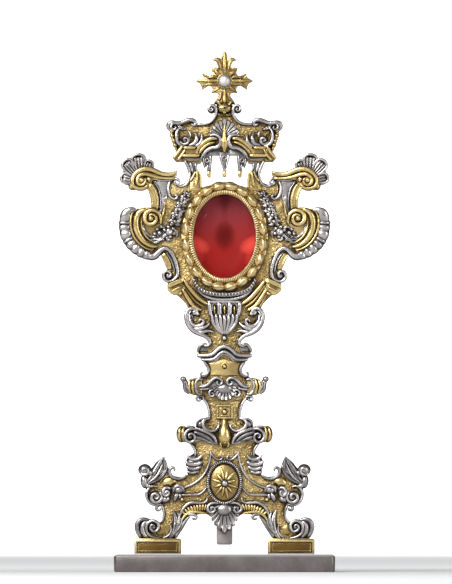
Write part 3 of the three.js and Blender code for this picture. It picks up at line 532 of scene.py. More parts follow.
# The middle drop takes the darker silvering: painted shade.
cast_on(
    SHADED_SILVER,
    plate(middle_drop, 5.4, soft=0.8),
    band(spiral(0, 317.8, 1.5, 1.5, 90, 360), 1.1, 7),
    both=False,
)
cast_on(
    SILVERED,
    band([(30.8, 317.2), (24, 316.8), (18, 317)], 1.3, 6.6),
    band([(16.6, 316), (15.4, 319.4), (12.8, 322.6), (9.4, 324.2), (4.6, 324.2)], [0.8, 1.3, 1.3, 1.3, 1],
         6.4),
    band([(16.2, 318), (16, 314.4), (15, 311)], [1.8, 1.6, 1], 6.4),
    band([(10.8, 319.4), (10.9, 314), (11.5, 308.4)], [1.8, 1.6, 1.2], 6.6),
    band(spiral(13.4, 315.6, 1.5, 1.5, 90, 360), 1.1, 6.6),
    band([(13, 312.4), (12.9, 309.6), (12.4, 307.4)], [1.6, 1.4, 0.8], 6.4),
    band([(3, 320), (2.3, 314.6), (1, 309.6)], [1.8, 1.6, 1], 6.8),
    band([(30.6, 316), (28.4, 311.4), (26.9, 307.4), (26.5, 303), (27, 299)], [2, 2.2, 2.2, 2, 1.8], 6.8),
    band([(26.4, 314), (25.4, 310), (24.4, 306)], [2.4, 2.6, 1.4], 6.6),
    band([(22.4, 313.6), (21.9, 310), (20.6, 306.6)], [1.8, 1.8, 1.4], 6.2),
    plate(outline_of([(29, 313.4), (20.6, 313.4)], [(21.4, 309), (21.4, 300)], [(27, 300)],
                     [(27.4, 307), (29, 313.4)]), 4.4),
)
cast_on(
    GILT,
    dome(11.9, 305.3, 1.6, 2.7, 5.8),
    plate(outline_of([(17.8, 306), (17.8, 293)], [(27, 292)],
                     [(26.6, 299), (24.4, 304), (22.6, 306.8), (20, 307.4), (17.8, 306)]), 6.8),
    band([(18.6, 306.6), (18.5, 300), (18.5, 294.6)], 1.5, 8.4),
    band([(22.6, 306.8), (24.4, 302.6), (26.6, 299.6)], [1.2, 1.6, 1.6], 9.4),
    band([(21, 306.4), (21.4, 301), (22.6, 295.6)], [1.4, 2.4, 3], 8.8),
)
cast_on(GILT, dome(0, 305.4, 1.6, 2.5, 6.2), both=False)


# Upper arms: a gilt bar that winds into a big volute with four silvered shell lobes behind it, a gilt
# stem below, and a smooth silvered plate beside it.
# A disc in the darker silvering behind the lobes: painted shade between them.
cast_on(SHADED_SILVER, dome(68, 306.4, 10, 11, 5.2))
cast_on(
    SILVERED,
    *petal(62, 303, 56.8, 315.6, 8.6, 9.6, ridges=2),
    *petal(65, 303, 66.4, 320.6, 12.2, 10.4, rim=1.7, ridges=3),
    *petal(66, 302, 77, 315.6, 11, 10.8, rim=1.7, ridges=3),
    *petal(67, 300, 79.9, 302.6, 9.2, 10.4, rim=1.6, ridges=2),
)
volute_x = 63.6
volute_z = 299.8
cast_on(
    GILT,
    plate(outline_of([(57, 310.6), (62, 310.9), (67, 308.6), (71.6, 304.6), (74.2, 299.6), (73.6, 296)],
                     [(71.6, 293.6), (69.4, 292.8), (67, 294)], [(62.6, 293.4), (59, 294.4), (56.6, 297)],
                     [(55, 300)], [(55, 310)]), 9.4, soft=2),
    dome(71, 296, 2.9, 3.1, 11),
    dome(66.8, 294.8, 2.9, 1.9, 10.8),
    dome(61, 296, 3.4, 2.4, 10.6),
    dome(volute_x, volute_z, 6.4, 6, 11.4, sides=28),
    plate(outline_of([(57, 310.4), (53, 308.8), (49, 306.9), (44, 305.8), (40, 306), (36.6, 308)],
                     [(36.6, 305), (38, 300.2)], [(57, 300.4)]), 8, soft=1.2),
    band([(36.9, 306.6), (40.6, 304.9), (45, 304.7), (49.4, 305.6), (53, 307.2), (56.6, 308.4), (61, 308.8),
          (65.6, 307.2), (69.2, 304), (70.8, 300), (69.9, 295.9), (66, 293.9), (61.4, 294.3),
          (58.4, 296.8)], [2, 3.4, 3.6, 4, 4.4, 4.6, 4.4, 4, 3.4, 3, 2.8, 2.6, 1.8],
         [10.6, 11.2, 12, 12.6, 13, 13, 12.4]),
    band([(38.2, 301.8), (43, 301.6), (48, 301.9), (53, 302.9), (58, 304.4), (62.4, 304.7), (65.8, 302.8),
          (67, 299.6), (65.4, 296.8), (62.2, 296.6), (60.6, 299)],
         [1.8, 2.2, 2.2, 2.4, 2.8, 3.2, 3.2, 3, 2.8, 2.4, 1.6], [10.2, 10.8, 12, 13.2, 14, 14.4]),
    dome(volute_x, volute_z + 0.2, 2.4, 2.4, 15),
    dome(58, 300.8, 2.1, 2.6, 11.6),
    band([(58.4, 297.4), (55.6, 293.8), (54, 289.4), (53.2, 284), (53.6, 277.8)], [5.2, 6, 6, 6, 5.6], 9.2,
         FLAT),
    band([(56.4, 297.4), (53.6, 293.4), (52, 288.8), (51.2, 284), (51.8, 278)], [1.4, 1.8, 1.9, 1.9, 1.6],
         10.2),
    band([(60, 296), (57.8, 292.6), (56.2, 288.6), (55.3, 284), (55.6, 279)], [1.2, 1.6, 1.7, 1.7, 1.5],
         10),
)
cast_on(
    SILVERED,
    plate(outline_of([(54.4, 299.8), (51.4, 295), (49.8, 290), (49, 285), (49.8, 278), (51.4, 271)],
                     [(47.4, 275.6), (45.4, 281), (44, 286), (43, 291)], [(42, 299.8)]), 6.8, soft=0.7,
          holes=[ring_of(45.6, 288, 0.6, 0.6, 12)]),
    band([(54.2, 299), (51, 294.4), (49.6, 289.6), (49, 285), (49.6, 278.6)], [0.8, 1.2, 1.3, 1.3, 1], 8.4),
    band([(42, 299.6), (43.1, 295.6), (42.9, 291), (41.4, 287.6), (38.8, 285.9), (36.6, 286.6),
          (36.6, 288.6), (38.2, 288.6)], [1.6, 2, 2.2, 2.3, 2.3, 2, 1.8, 1.3], [8.2, 8.8, 9.2, 9.6]),
    band([(52, 300.3), (46, 300.2), (40, 300.4)], 1.4, 8),
    band([(39.4, 300.6), (37, 301.6), (35, 300), (35.4, 297.6), (37.6, 297), (38.6, 298.6), (37.4, 299.6)],
         [1.5, 2, 2.1, 2, 1.8, 1.5, 1.1], [8.8, 9.2, 9.6]),
    band([(36.8, 297.2), (34, 295.7), (31, 296.2), (28.2, 298.8), (26.9, 302.4), (26.6, 306.6)],
         [1.6, 2, 2, 1.9, 1.8, 1.6], [8.8, 8.4]),
)
cast_on(
    STIPPLED,
    plate(outline_of([(29, 299), (34, 297), (38, 298.6), (41.6, 297.6)],
                     [(42.2, 293), (41, 289), (38, 286.6), (34, 288)], [(29, 292), (29, 299)]), 7,
          soft=1.2),
)


# Lower arms: a gilt volute held in a silvered wing of swelling segments, which runs on as a tube to a
# small curl. Silvered leaves fill the hollow.
wing_line = smooth_line([(68.6, 277.2), (71.6, 277.7), (74.6, 275.9), (76.3, 271.4), (76.6, 264.6),
    (75.3, 257.6), (71.8, 251.4), (67, 246.8), (62, 243.6), (57, 242)], 0.4)
wing_widths = [3.6, 6.4, 8.6, 9.2, 9.2, 8.8, 8.4, 7.8, 7, 6]
wing_cuts = [0, 0.28, 0.33, 0.41, 0.55, 0.6, 0.7, 0.8, 0.9, 1]
wing_profile = np.array([[-1, 0], [-0.99, 0.5], [-0.9, 0.78], [-0.66, 0.94], [-0.3, 1], [0, 1], [0.3, 0.98],
    [0.62, 0.9], [0.88, 0.74], [0.99, 0.5], [1, 0]])
wing_end = len(wing_line) - 1
swell = [0.9, 0.99, 1.01, 0.99, 0.9]
for start, end in zip(wing_cuts, wing_cuts[1:]):
    places = [start + (end - start) * share for share in (0, 0.14, 0.5, 0.86, 1)]
    cast_on(SILVERED, band([tuple(wing_line[round(p * wing_end)]) for p in places],
                           [along(wing_widths, p) * s for p, s in zip(places, swell)],
                           [11.4 * s for s in swell], wing_profile, step=0.8, blunt=False))
cast_on(
    SILVERED,
    band([(59, 242.4), (56, 241.6), (53.4, 242.2), (51.2, 244), (49, 246.4), (46.2, 247.9), (43.2, 247.2),
          (40.6, 244.4), (38.3, 239.8), (36.6, 234.4), (35.9, 229.8), (36.6, 226.2), (39.2, 223.4),
          (42.8, 222.4), (46, 224), (47, 227.2), (45.4, 230), (42.6, 230), (41.2, 227.8), (42.4, 226),
          (44, 226.8)], [5.8, 5.4, 4.6, 3.8, 3.2, 3, 2.9, 2.8, 2.8, 2.8, 2.7, 2.6, 2.4, 2.2, 1.8, 1.3],
         [11, 10.6, 10.2, 10, 9.8, 9.8, 10, 10.6, 11]),
    band([(44.4, 244.4), (41.2, 239.6), (39, 234), (38.4, 229.6)], [0.8, 1.5, 1.5, 0.8], 8.2),
    dome(43, 227, 3.8, 4, 8.2),
)
cast_on(
    GILT,
    plate(outline_of([(68, 277.6), (64, 278.9), (58, 279.6), (54, 278.6)],
                     [(49, 275), (48, 269), (50, 262), (54, 256)], [(54, 248), (56, 243)],
                     [(66, 247.6), (71.4, 256), (72.6, 268), (68, 277.6)]), 7.4, soft=0.6),
    band([(66, 278.4), (70.4, 275.4), (72, 270.4), (71.8, 264), (69.8, 257.6), (65.8, 252), (60.4, 248),
          (55, 246.2)], [1.2, 2, 2, 2, 2, 2, 1.8, 1.2], [9.6, 10.4, 10, 9.4]),
    band([(60, 278.2), (65.4, 275.2), (67.8, 269.6), (67.5, 263), (65.2, 257.2), (61, 252.4), (56, 249.6),
          (52, 249)], [2.6, 4.6, 5.2, 5.2, 5, 4.6, 3.6, 1.6], [12, 12.4, 12.2, 11.6, 10.6, 9.6]),
    band([(63.4, 269.4), (63.4, 264), (61.6, 259), (58.2, 255), (54.2, 252.6)], [0.9, 1.7, 1.8, 1.6, 0.9],
         [10, 10, 9.4]),
    dome(56.2, 270.8, 7.4, 7, 10.6, sides=28),
    band([(48.9, 266.6)] + spiral(56, 270.8, 6.9, 2.4, 180, -500), [2, 3.2, 3.8, 4, 3.8, 3.4, 3, 2.4, 1.6],
         [10.4, 12, 12.8, 13.6, 14]),
    dome(56.4, 270.6, 2.3, 2.3, 15),
    band([(46.4, 284), (46.2, 279), (47.6, 273.4), (51, 267.4)], [1, 1.6, 1.8, 1], 9),
    band([(47.8, 244.2), (45.2, 240), (43.2, 235.4), (42, 231.4)], [3.4, 4.6, 4.6, 3.6], 8, FLAT),
    band([(48.6, 243), (46, 238.6), (44, 234)], [1, 1.5, 1.2], 9),
)
cast_on(
    SILVERED,
    leaf([(47, 260.6), (51, 256.6), (56.6, 255.8), (61.2, 258.8), (63.4, 264)], [4, 6.4, 6.6, 5, 1.4],
         [8.6, 9.6, 9.6, 8.4], 6),
    leaf([(56, 256.4), (60.6, 260.4), (62.6, 266.2)], [1.6, 3, 1], [10.4, 10.8, 9.4], 3),
    leaf([(48, 257.4), (52, 252.6), (57, 253.4)], [2, 3.4, 1], [9, 9.8, 9], 3),
)


# Garlands: a string of silvered leaves and fruit down each side of the window, with a round flower
# and a spray of leaves at its foot.
garland = [(28.8, 290, 2.2), (30.6, 286, 2.6), (33.2, 282.2, 2.9), (34.4, 277.6, 3.1), (36.8, 273.4, 3.2),
           (38, 268.4, 3.4)]
# A strip in the darker silvering under the garland: painted shade between its leaves.
cast_on(SHADED_SILVER, band([(x, z) for x, z, size in garland], [5, 6.4, 7, 7.4, 7.6, 6.6], 7.6, FLAT))
for i, (x, z, size) in enumerate(garland):
    lean = 25 * math.sin(2.4 * i)
    for angle, reach in ((165 + lean, 1.7), (225 + lean, 1.6), (15 + lean, 1.7), (318 + lean, 1.8)):
        a = math.radians(angle)
        tip = (x + size * reach * math.cos(a) * 0.86, z + size * reach * math.sin(a) * 0.86)
        middle = (x + size * reach * 0.5 * math.cos(a + 0.35), z + size * reach * 0.5 * math.sin(a + 0.35))
        cast_on(SILVERED, leaf([(x, z), middle, tip], [size * 0.8, size * 1.3, 0.9], [9.6, 10.4, 9], 0))
    cast_on(SILVERED, dome(x, z, size * 0.5, size * 0.5, 11.4, sides=14))
    cast_on(SILVERED, dome(x + size * 0.9, z - size * 0.7, size * 0.38, size * 0.38, 10.6, sides=12))
for turn in range(0, 360, 60):
    a = math.radians(turn + 20)
    cast_on(
        SILVERED,
        dome(42.4 + 3.6 * math.cos(a), 260.6 + 3.6 * math.sin(a), 2, 1.7, 9.6, tilt=turn + 20, sides=14),
    )
cast_on(
    SILVERED,
    dome(42.4, 260.6, 3.5, 3.5, 12, pit=0.25, sides=24),
    leaf([(39, 262.4), (36.4, 260), (37, 256.4)], [2.4, 3.8, 1.2], [9, 9.6, 8], 2),
    leaf([(44.6, 258), (43.4, 254.6), (39.6, 254.6)], [2, 3.4, 1], [8.8, 9.2, 7.6], 2),
    leaf([(45.6, 263.4), (48.4, 264.6), (51, 262.2)], [2, 3.4, 1], [9, 9.6, 8], 2),
    leaf([(46, 258), (49.4, 254.6), (54, 255.2)], [2.4, 4, 1], [9.8, 10.8, 9], 2),
    dome(49.8, 259.6, 1.9, 1.9, 11.4, sides=16),
    dome(53.4, 259, 1.6, 1.6, 11.2, sides=14),
    dome(51.6, 262.4, 1.5, 1.3, 10.4, sides=14),
    dome(47.4, 254.6, 1.5, 1.3, 9.4, sides=14),
)


# Below the window: a silvered crescent and a gadrooned vase with three open slots, gilt slanting
# mouldings that end in pieces of cornice, and S-shaped silvered scrolls at the sides.
def over_middle(right_half):
    """A line over the middle, from the points of its right half, which ends on the middle line."""
    return right_half + [(-x, z) for x, z in right_half[-2::-1]]


crescent = [(24, 224.4), (21.6, 219.4), (18.2, 216), (13.4, 213.8), (7, 212.5), (0, 212.1)]
cast_on(
    SILVERED,
    band(over_middle(crescent), [0.8, 2.6, 3, 3.2, 3.3, 3.3, 3.3, 3.2, 3, 2.6, 0.8], 10, profile=FLAT,
         step=0.8),
    band(over_middle([(22.6, 219.6), (19.4, 214.9), (15.8, 211.9), (10, 209.6), (5, 208.7), (0, 208.4)]),
         [0.8, 2.4, 2.8, 3, 3, 3, 3, 3, 2.8, 2.4, 0.8], 9),
    plate(doubled([(0, 181), (1.6, 181.8)], [(6, 185), (9.4, 189.4), (11, 194.4)],
                  [(11.6, 200), (12, 205), (13.6, 207.8)], [(0, 208.6)]), 7.6, soft=1.2,
          holes=[ring_of(x, 200.4, 1.5, 4.4, 20) for x in (-7.5, 0, 7.5)]),
    band(over_middle([(13, 206.6), (0, 206.9)]), 2.2, 9.4),
    dome(0, 178.8, 2.1, 2.1, 10.4),
    both=False,
)
crescent_run = smooth_line(crescent, 0.2)
for i in range(12):
    x, z = crescent_run[int((i + 0.6) / 12.2 * len(crescent_run))]
    cast_on(SILVERED, dome(x, z, 0.75, 1.5, 11.6, tilt=math.degrees(math.atan2(x * 0.6, 27)), sides=12))
for x, wide in ((3.85, 4.7), (11, 3.6)):
    cast_on(
        SILVERED,
        band([(x * 1.08, 206.6), (x * 1.02, 201), (x * 0.96, 196)], [wide, wide * 0.9, wide], 10.6),
    )
for i in range(4):
    spread = 3.2 * i
    cast_on(
        SILVERED,
        band([(spread, 197), (spread * 0.98, 193.8), (spread * 0.86, 190), (spread * 0.56, 185.8),
              (spread * 0.18, 182)], [2.2, 2.9, 2.7, 1.9, 0.8], [11, 12 - 0.6 * i, 11.4 - 0.5 * i, 10, 9]),
        both=i > 0,
    )
cast_on(
    GILT,
    dome(7.6, 200.2, 1.1, 4, 8.2),
    plate(outline_of([(31, 225.4), (38, 222.6), (43.8, 220.8)], [(43.8, 216)],
                     [(40.6, 213.2), (38.6, 212.2), (36.4, 212.3)], [(30, 215)]), 7.2),
    band([(31.8, 223.6), (37.6, 221.2), (43.2, 218.6)], 3.4, 11.6, FLAT),
    band([(33.4, 218.4), (37, 216.7), (40.6, 214.6)], 1.7, 10),
    band([(31, 218.6), (31.6, 214.6), (36, 212.8)], 1.2, 8.4),
    dome(33.6, 213.2, 1.9, 1.4, 9.2, tilt=-30, sides=14),
)
cast_on(GILT, dome(0.1, 200.2, 1.1, 4, 8.2), both=False)
# Every second slanting moulding is lower and takes the darker gilt: painted shade.
for i, (wide, top) in enumerate(((3.4, 10.4), (2.2, 8.6), (3.2, 9.8), (2, 8.2))):
    step_in = 1.7 * i
    drop = -3.4 * i
    slant = [(31 + step_in * 0.3, 223.4 + drop), (26 + step_in * 0.6, 216.6 + drop),
             (20.4 + step_in, 210.4 + drop * 0.95), (13.4 + step_in * 1.3, 205 + drop * 0.7)]
    cast_on(SHADED_GILT if i % 2 else GILT, band(slant, [wide * 0.6, wide, wide, wide * 0.6], top))
cast_on(
    SILVERED,
    band([(20.6, 197.8), (21.4, 200.2), (24.2, 201.9), (27.4, 200.8), (29.2, 197.4), (28.9, 192.6),
          (26.8, 188.2), (23.6, 184.9), (19.2, 182.4), (15, 180.6), (12, 178), (11, 175.2), (12.6, 173.2),
          (15.8, 173.2)], [1.8, 2.8, 3.2, 3.4, 3.6, 3.8, 4, 3.8, 3.2, 2.8, 3, 2.8, 1.8],
         [9.4, 10.4, 11, 11, 10.6, 10, 9.4]),
    plate(outline_of([(12, 190), (14, 184), (20, 184.6)], [(25, 188), (27.4, 193), (27, 198)],
                     [(24, 201), (21, 199)], [(16, 194), (12, 190)]), 5.6),
    dome(22.9, 198.6, 2.6, 2.6, 9.6, pit=0.3),
    band([(26.6, 197), (26.6, 193.4), (25, 190), (21.8, 188.2), (18.4, 188.6), (16.2, 190.8), (16.8, 193.2),
          (18.8, 193.1), (19.4, 191.2)], [1.2, 2.4, 2.8, 3.2, 3.2, 3, 2.4, 1.8, 1.2],
         [9.4, 10.4, 11, 11.6, 12]),
    band([(25.6, 187.4), (21, 185.8), (16.4, 187), (12.8, 189), (11, 191.6)], [1.6, 3, 3.2, 2.4, 0.8],
         [9.4, 11, 10.6, 8.6]),
    band([(23, 184.2), (17.6, 183.6), (12.4, 184.6), (8, 183.4)], [1.4, 2.8, 2.4, 0.8], [9.4, 10.8, 10, 8]),
    dome(20.6, 197.6, 2, 2, 10, sides=16),
)
# The small curl below the scrolls takes the darker silvering: painted shade.
cast_on(
    SHADED_SILVER,
    plate(outline_of([(13, 168), (12, 172), (13.4, 175)], [(17.6, 174.8), (20.6, 171)], [(20.8, 168)]), 6.4,
          soft=1),
    band([(20.2, 168), (19.8, 171), (17.6, 173.8), (14.6, 174.4), (13.4, 172.8), (15, 171.8)],
         [2, 2.4, 2.4, 2.2, 1.8, 1.2], [8, 8.8, 9.2, 9]),
)


# Upper stem: a silvered bracket of two mouldings under the vase, a gilt stem with a rivet between two
# silvered C-scrolls, and a knop of silvered shell and curls between gilt barrels.
cast_on(
    SILVERED,
    plate(doubled([(0, 166), (2.8, 165), (5.2, 162.2), (7, 160.9)], [(15.8, 160.7)], [(21.4, 166.6)],
                  [(13, 167.2), (9, 168.8), (5.4, 172.4), (0, 174)]), 7.2, soft=0.6),
    band(over_middle([(21, 165.6), (12.4, 165.8), (9, 166.8), (5.6, 170), (2.6, 171.9), (0, 172.5)]), 2.9,
         [10.4, 12, 12.4, 12, 10.4], step=0.8),
    band(over_middle([(17.8, 162.5), (11, 162.4), (8, 163.2), (5.2, 165.7), (2.4, 167.8), (0, 168.4)]), 2.3,
         [9.6, 10.6, 11, 10.6, 9.6], step=0.8),
    both=False,
)
cast_on(
    GILT,
    plate(doubled([(0, 150), (11.4, 150.4)], [(10.6, 154), (12, 160)], [(0, 163)]), 6.8, soft=0.5),
    dome(0, 157.2, 2.8, 2.8, 8),
    dome(0, 157.2, 1.8, 1.8, 9.6),
    both=False,
)
# Small curls in the darker silvering: painted shade that keeps them from shining bright.
cast_on(
    SHADED_SILVER,
    dome(18.4, 112.9, 3.6, 4.2, 10, tilt=30),
    band([(14.6, 117.2), (18, 117), (20.8, 115), (21.6, 111.6)], [1, 1.8, 2, 1.4], 10.6),
    band([(15.8, 160.8), (13.4, 158), (12.2, 155), (12.8, 152), (15, 150), (17.6, 150), (18.2, 152),
          (16.6, 152.8)], [2, 2.2, 2.3, 2.4, 2.3, 2.1, 1.8, 1.4], [8.6, 9.2, 9.6, 10.2]),
    band([(19.4, 148.2), (17.4, 149.4), (14.6, 148.8)], [1.4, 1.8, 1], 8.8),
)
cast_on(
    STIPPLED,
    plate(doubled([(0, 131), (13, 131)], [(18, 133.6), (18, 137)], [(18, 145.4)], [(14, 148), (12, 151.6)],
                  [(0, 151.6)]), GROUND + 0.3, soft=0.6),
    both=False,
)
cast_on(
    GILT,
    plate(outline_of([(17, 147.4), (24.6, 148.2)], [(27.4, 145.8), (28.2, 141.6), (27, 137.4)],
                     [(24, 135.4), (17, 135.6)]), 7.8, soft=1.4),
    band([(23.4, 148), (24.4, 144.6), (24.4, 140), (23, 135.8)], 2, [9.4, 11.2, 11.2, 9.4]),
    band([(25.8, 147.6), (27.1, 144.4), (27, 139.8), (25.6, 136.4)], 2, [9, 10.6, 10.6, 9]),
)
# The finial leaf and small curls take the darker silvering: painted shade.
cast_on(
    SHADED_SILVER,
    leaf([(26.8, 136.8), (29.2, 139.6), (29.8, 143.4), (30.8, 146.6), (32.4, 149)], [2.4, 4.6, 5, 4.2, 2],
         [9.4, 10.4, 10, 8.4], 0),
    dome(31.6, 147.6, 2.4, 2.1, 10.4, sides=16),
    band([(27.8, 139), (29, 142.4), (29, 145.4)], [1, 1.6, 1], 10.4),
    band([(15.6, 133), (17.6, 134.4), (20.6, 134.2), (21.6, 132.4), (20.2, 131), (18.4, 131.6),
          (18.6, 132.8)], [1.6, 2, 2.2, 2.1, 1.8, 1.5, 1.1], [9, 9.8]),
)
cast_on(
    SILVERED,
    band([(19.6, 141.9), (16, 141.8), (12.8, 143.4), (10, 146.4), (6.8, 148.4), (3.6, 147.9), (1.9, 145.8),
          (2.6, 143.6), (4.6, 143.1), (6, 144.3), (5.3, 145.8)],
         [1.8, 2.2, 2.4, 2.5, 2.5, 2.4, 2.2, 2, 1.8, 1.6, 1.3], [9.4, 10.4, 11, 11.2, 11.6]),
    band([(19, 139.6), (14.6, 139.8), (10.6, 140.6)], [1.2, 1.8, 1.6], 9.6),
    band([(8, 139.6), (10.8, 138.8), (11.8, 136.4), (10.4, 134.4), (8.2, 134.8), (8.2, 136.6),
          (9.6, 136.8)], [1.2, 1.8, 2, 2, 1.8, 1.5, 1.1], [9.4, 9.8, 10.4]),
    band([(16.8, 146.9), (19.6, 147.6), (21.8, 145.4), (22.4, 141.6), (21.6, 138), (19.4, 135.9),
          (17, 136.4)], [1.8, 2, 2.1, 2.1, 2.1, 2, 1.8], 10.6),
    dome(18.9, 141.6, 2.6, 4.8, 7.6, pit=0.35),
    band([(16.8, 133.2), (13.9, 129.2), (12.3, 124.6), (11.6, 120), (11.8, 116.8)], [1.8, 2, 2, 1.9, 1.8],
         8.8),
)
# The knop's shell takes the darker silvering: painted shade.
cast_on(
    SHADED_SILVER,
    plate(doubled([(0, 138), (10, 138.6), (18.6, 139.4)], [(18.6, 143.4)],
                  [(12.4, 145), (7, 148), (3, 147.4), (0, 144.6)]), 7.4, soft=0.5),
    shell(0, 144.4, -164, -16, 10, [9.6, 10.4, 12, 13.4, 13.8, 13.4, 12, 10.4, 9.6], 9.4, sink=1.6,
          flare=0.2),
    dome(0, 140.4, 6.4, 4.2, 10.6, base=7.6),
    both=False,
)


# Lower stem: a gilt post with a square frame and a bell, held by winged silvered scrolls whose
# rolled ends carry gilt caps.
cast_on(
    GILT,
    plate(doubled([(0, 117), (6.4, 117)], [(6.4, 128)], [(0, 128)]), 6.6, soft=0.5),
    band([(-5.7, 117.6), (-5.7, 127.6)], 1.3, 8.2),
    band([(5.7, 117.6), (5.7, 127.6)], 1.3, 8.2),
    band([(-6.2, 127.3), (6.2, 127.3)], 1.3, 8.2),
    band([(-6.2, 117.8), (6.2, 117.8)], 1.3, 8.2),
    band([(-3.4, 119.8), (-3.4, 125.2)], 1, 7.6),
    band([(3.4, 119.8), (3.4, 125.2)], 1, 7.6),
    band([(-3.6, 125.3), (3.6, 125.3)], 1, 7.6),
    band([(-3.6, 119.7), (3.6, 119.7)], 1, 7.6),
    dome(0, 122.5, 2.2, 2.2, 9.2),
    band([(0, 117.6), (0, 113.6), (0, 109.4), (0, 105.4), (0, 102), (0, 98.6), (0, 95)],
         [3.6, 5, 7.4, 10, 11.4, 9.4, 4], [9, 10.6, 12.6, 13.8, 14, 12, 9]),
    dome(0, 99.4, 1.5, 2, 13.6, pit=0.9, sides=16),
    both=False,
)
cast_on(
    GILT,
    dome(33, 105.4, 4, 6.5, 9.4),
    band([(30.6, 111.8), (31.7, 108.6), (31.7, 102.6), (30.8, 99.2)], 1.9, [9.6, 11.6, 11.6, 9.6]),
    band([(33.2, 111.4), (34.5, 108.2), (34.5, 102.8), (33.4, 99.6)], 1.9, [9, 11, 11, 9]),
    band([(2.2, 100), (3.2, 97.6), (2.2, 95.4)], [1, 2, 1], 11),
)
cast_on(
    SILVERED,
    plate(outline_of([(31, 111.4), (26, 111.4), (22.4, 110.8), (20, 114), (16, 115)], [(14, 109), (8, 106)],
                     [(5.6, 101), (5.6, 97.4)], [(12, 98.4), (19, 100.4), (22, 99.4)],
                     [(26, 98.4), (31, 99.6)]), 7.2, soft=0.6),
    band([(11.2, 117.6), (14.4, 117), (16.6, 114.6), (16.2, 111.6), (13.8, 109), (10.2, 107.8),
          (6.6, 108.7), (4.7, 110.8), (4.4, 113)], [1.8, 2.6, 2.9, 2.9, 2.8, 2.7, 2.4, 2.2, 1.4],
         [9.6, 11, 11.4, 11, 10]),
    band([(22.6, 110.2), (15.6, 107.8), (10.2, 105), (7, 101.4), (5.8, 97.6)], [2, 2.8, 2.8, 2.5, 1.8],
         [10.8, 11.6, 11.4, 10.4]),
    band([(30.6, 111), (26.4, 110.9), (22.4, 110.2)], [1.8, 2.4, 2], 9.8),
    dome(26.2, 104, 4.8, 5.2, 9.4),
    band([(20.6, 108.4), (23.6, 109.6), (27.2, 108.8), (29.8, 106.2), (30.2, 102.6), (28.2, 99.8),
          (25, 99.4), (22.9, 101.4), (23, 104.2), (25, 105.8), (27.2, 104.8), (27.2, 102.8), (25.8, 102.4)],
         [2, 2.6, 2.7, 2.7, 2.6, 2.5, 2.4, 2.2, 2, 1.9, 1.7, 1.5, 1.3], [10, 11, 11.6, 12, 12.6, 13]),
    band([(26.6, 98.6), (24.2, 95.8), (22.6, 92.4), (22.4, 88.6)], [1.6, 2, 2, 1.8], 8.8),
)
# These two scrolls take the darker silvering: painted shade.
cast_on(
    SHADED_SILVER,
    band([(23.4, 106.9), (17, 105), (11.6, 101.9), (8.6, 98.9)], [2.6, 3.4, 3.2, 1.4], [10.6, 10.8, 9.6]),
    band([(23, 103.4), (17.4, 102), (12.2, 100)], [2.4, 3.2, 1.4], [10, 9.8, 9]),
)


# Foot: legs, side leaves, volutes and an arch between thin silvered fillets, cast in one with the
# relief. An oval medallion with a beaded frame sits in the middle, with a shell below it.
foot_ground_hammered = doubled(
    [(0, 89), (22, 89)],
    [(23, 84), (22, 78), (24, 74.6)],
    [(32, 73), (40, 74), (44, 79)],
    [(47, 74), (52, 71), (58, 68)],
    [(59.6, 62), (57, 56), (50, 52.4)],
    [(47.4, 48), (47.4, 42), (50, 38.4)],
    [(56, 40), (62, 36), (61, 28), (57, 25)],
    [(38.6, 25)],
    [(35.6, 32), (31, 38), (26, 43.4), (16, 45)],
    [(0, 44.6)],
)
cast_on(STIPPLED, plate(foot_ground_hammered, 6.6, soft=0.8), both=False)
medallion_z = 68.4
rosette_x = 0.2
rosette_z = medallion_z - 0.8
around = np.linspace(0, 2 * math.pi, 41)
cast_on(
    SILVERED,
    band([(12.7 * math.cos(a), medallion_z + 15.9 * math.sin(a)) for a in around],
         2.5, 10.6, blunt=False, notch=1.5, step=0.3),
    dome(rosette_x, rosette_z, 3.2, 3.2, 14),
    dome(rosette_x, rosette_z, 4.4, 4.4, 11.6, ribs=12, sides=48),
    both=False,
)
# The medallion's dome behind the rays takes the darker gilt: painted shade between them.
cast_on(SHADED_GILT, dome(0, medallion_z, 14, 17.2, 9.8, sides=48), both=False)
ray_count = 12
for i in range(ray_count):
    a = 2 * math.pi * (i + 0.5) / ray_count
    long = 1 if i % 2 else 0.86
    ray = [(rosette_x + r * long * 0.82 * math.cos(a), rosette_z + r * long * math.sin(a))
           for r in (3.6, 6.4, 9.6, 13)]
    cast_on(GILT, band(ray, [1.7, 2.2, 1.6, 0.6], [11.8, 11.4, 10.7, 9.4]), both=False)

# Foot, thin silvered fillets: from the neck down both sides of the medallion, across to the volutes,
# round the arch and along the outer edges.
cast_on(
    SILVERED,
    band([(3.6, 88.7), (1.8, 88.2), (2.2, 86.3), (4.6, 85.7), (7.6, 87.4), (10.2, 90.6)],
         [1, 1.3, 1.5, 1.6, 1.6, 1.4], [9, 8.4]),
    band([(10.4, 92.4), (11.2, 86), (13, 79.6), (16, 74.2), (20.6, 69.6), (26, 66.3), (32.6, 63.8)],
         [1.4, 1.7, 1.9, 1.9, 1.9, 1.9, 1.6], 8.4),
    band([(13.6, 64.6), (16.6, 61.2), (19.6, 59.3), (25, 58.9), (33, 58.9)], [1.4, 1.7, 1.9, 1.9, 1.6],
         8.4),
    band([(48, 51), (46.7, 46.6), (46.8, 41.6), (48.6, 38.4), (51.6, 37.2)], [1.4, 1.9, 2, 1.9, 1.4], 8.8),
    band([(13.2, 56.6), (13.6, 54.4), (16.2, 52.8), (21, 52.9), (26, 52.9), (29.9, 50.4), (32.8, 46.4),
          (34.4, 41.8)], [1.3, 2, 2.3, 2.4, 2.5, 2.5, 2.3, 1.6], [9, 9.4, 9.6, 9.4]),
)
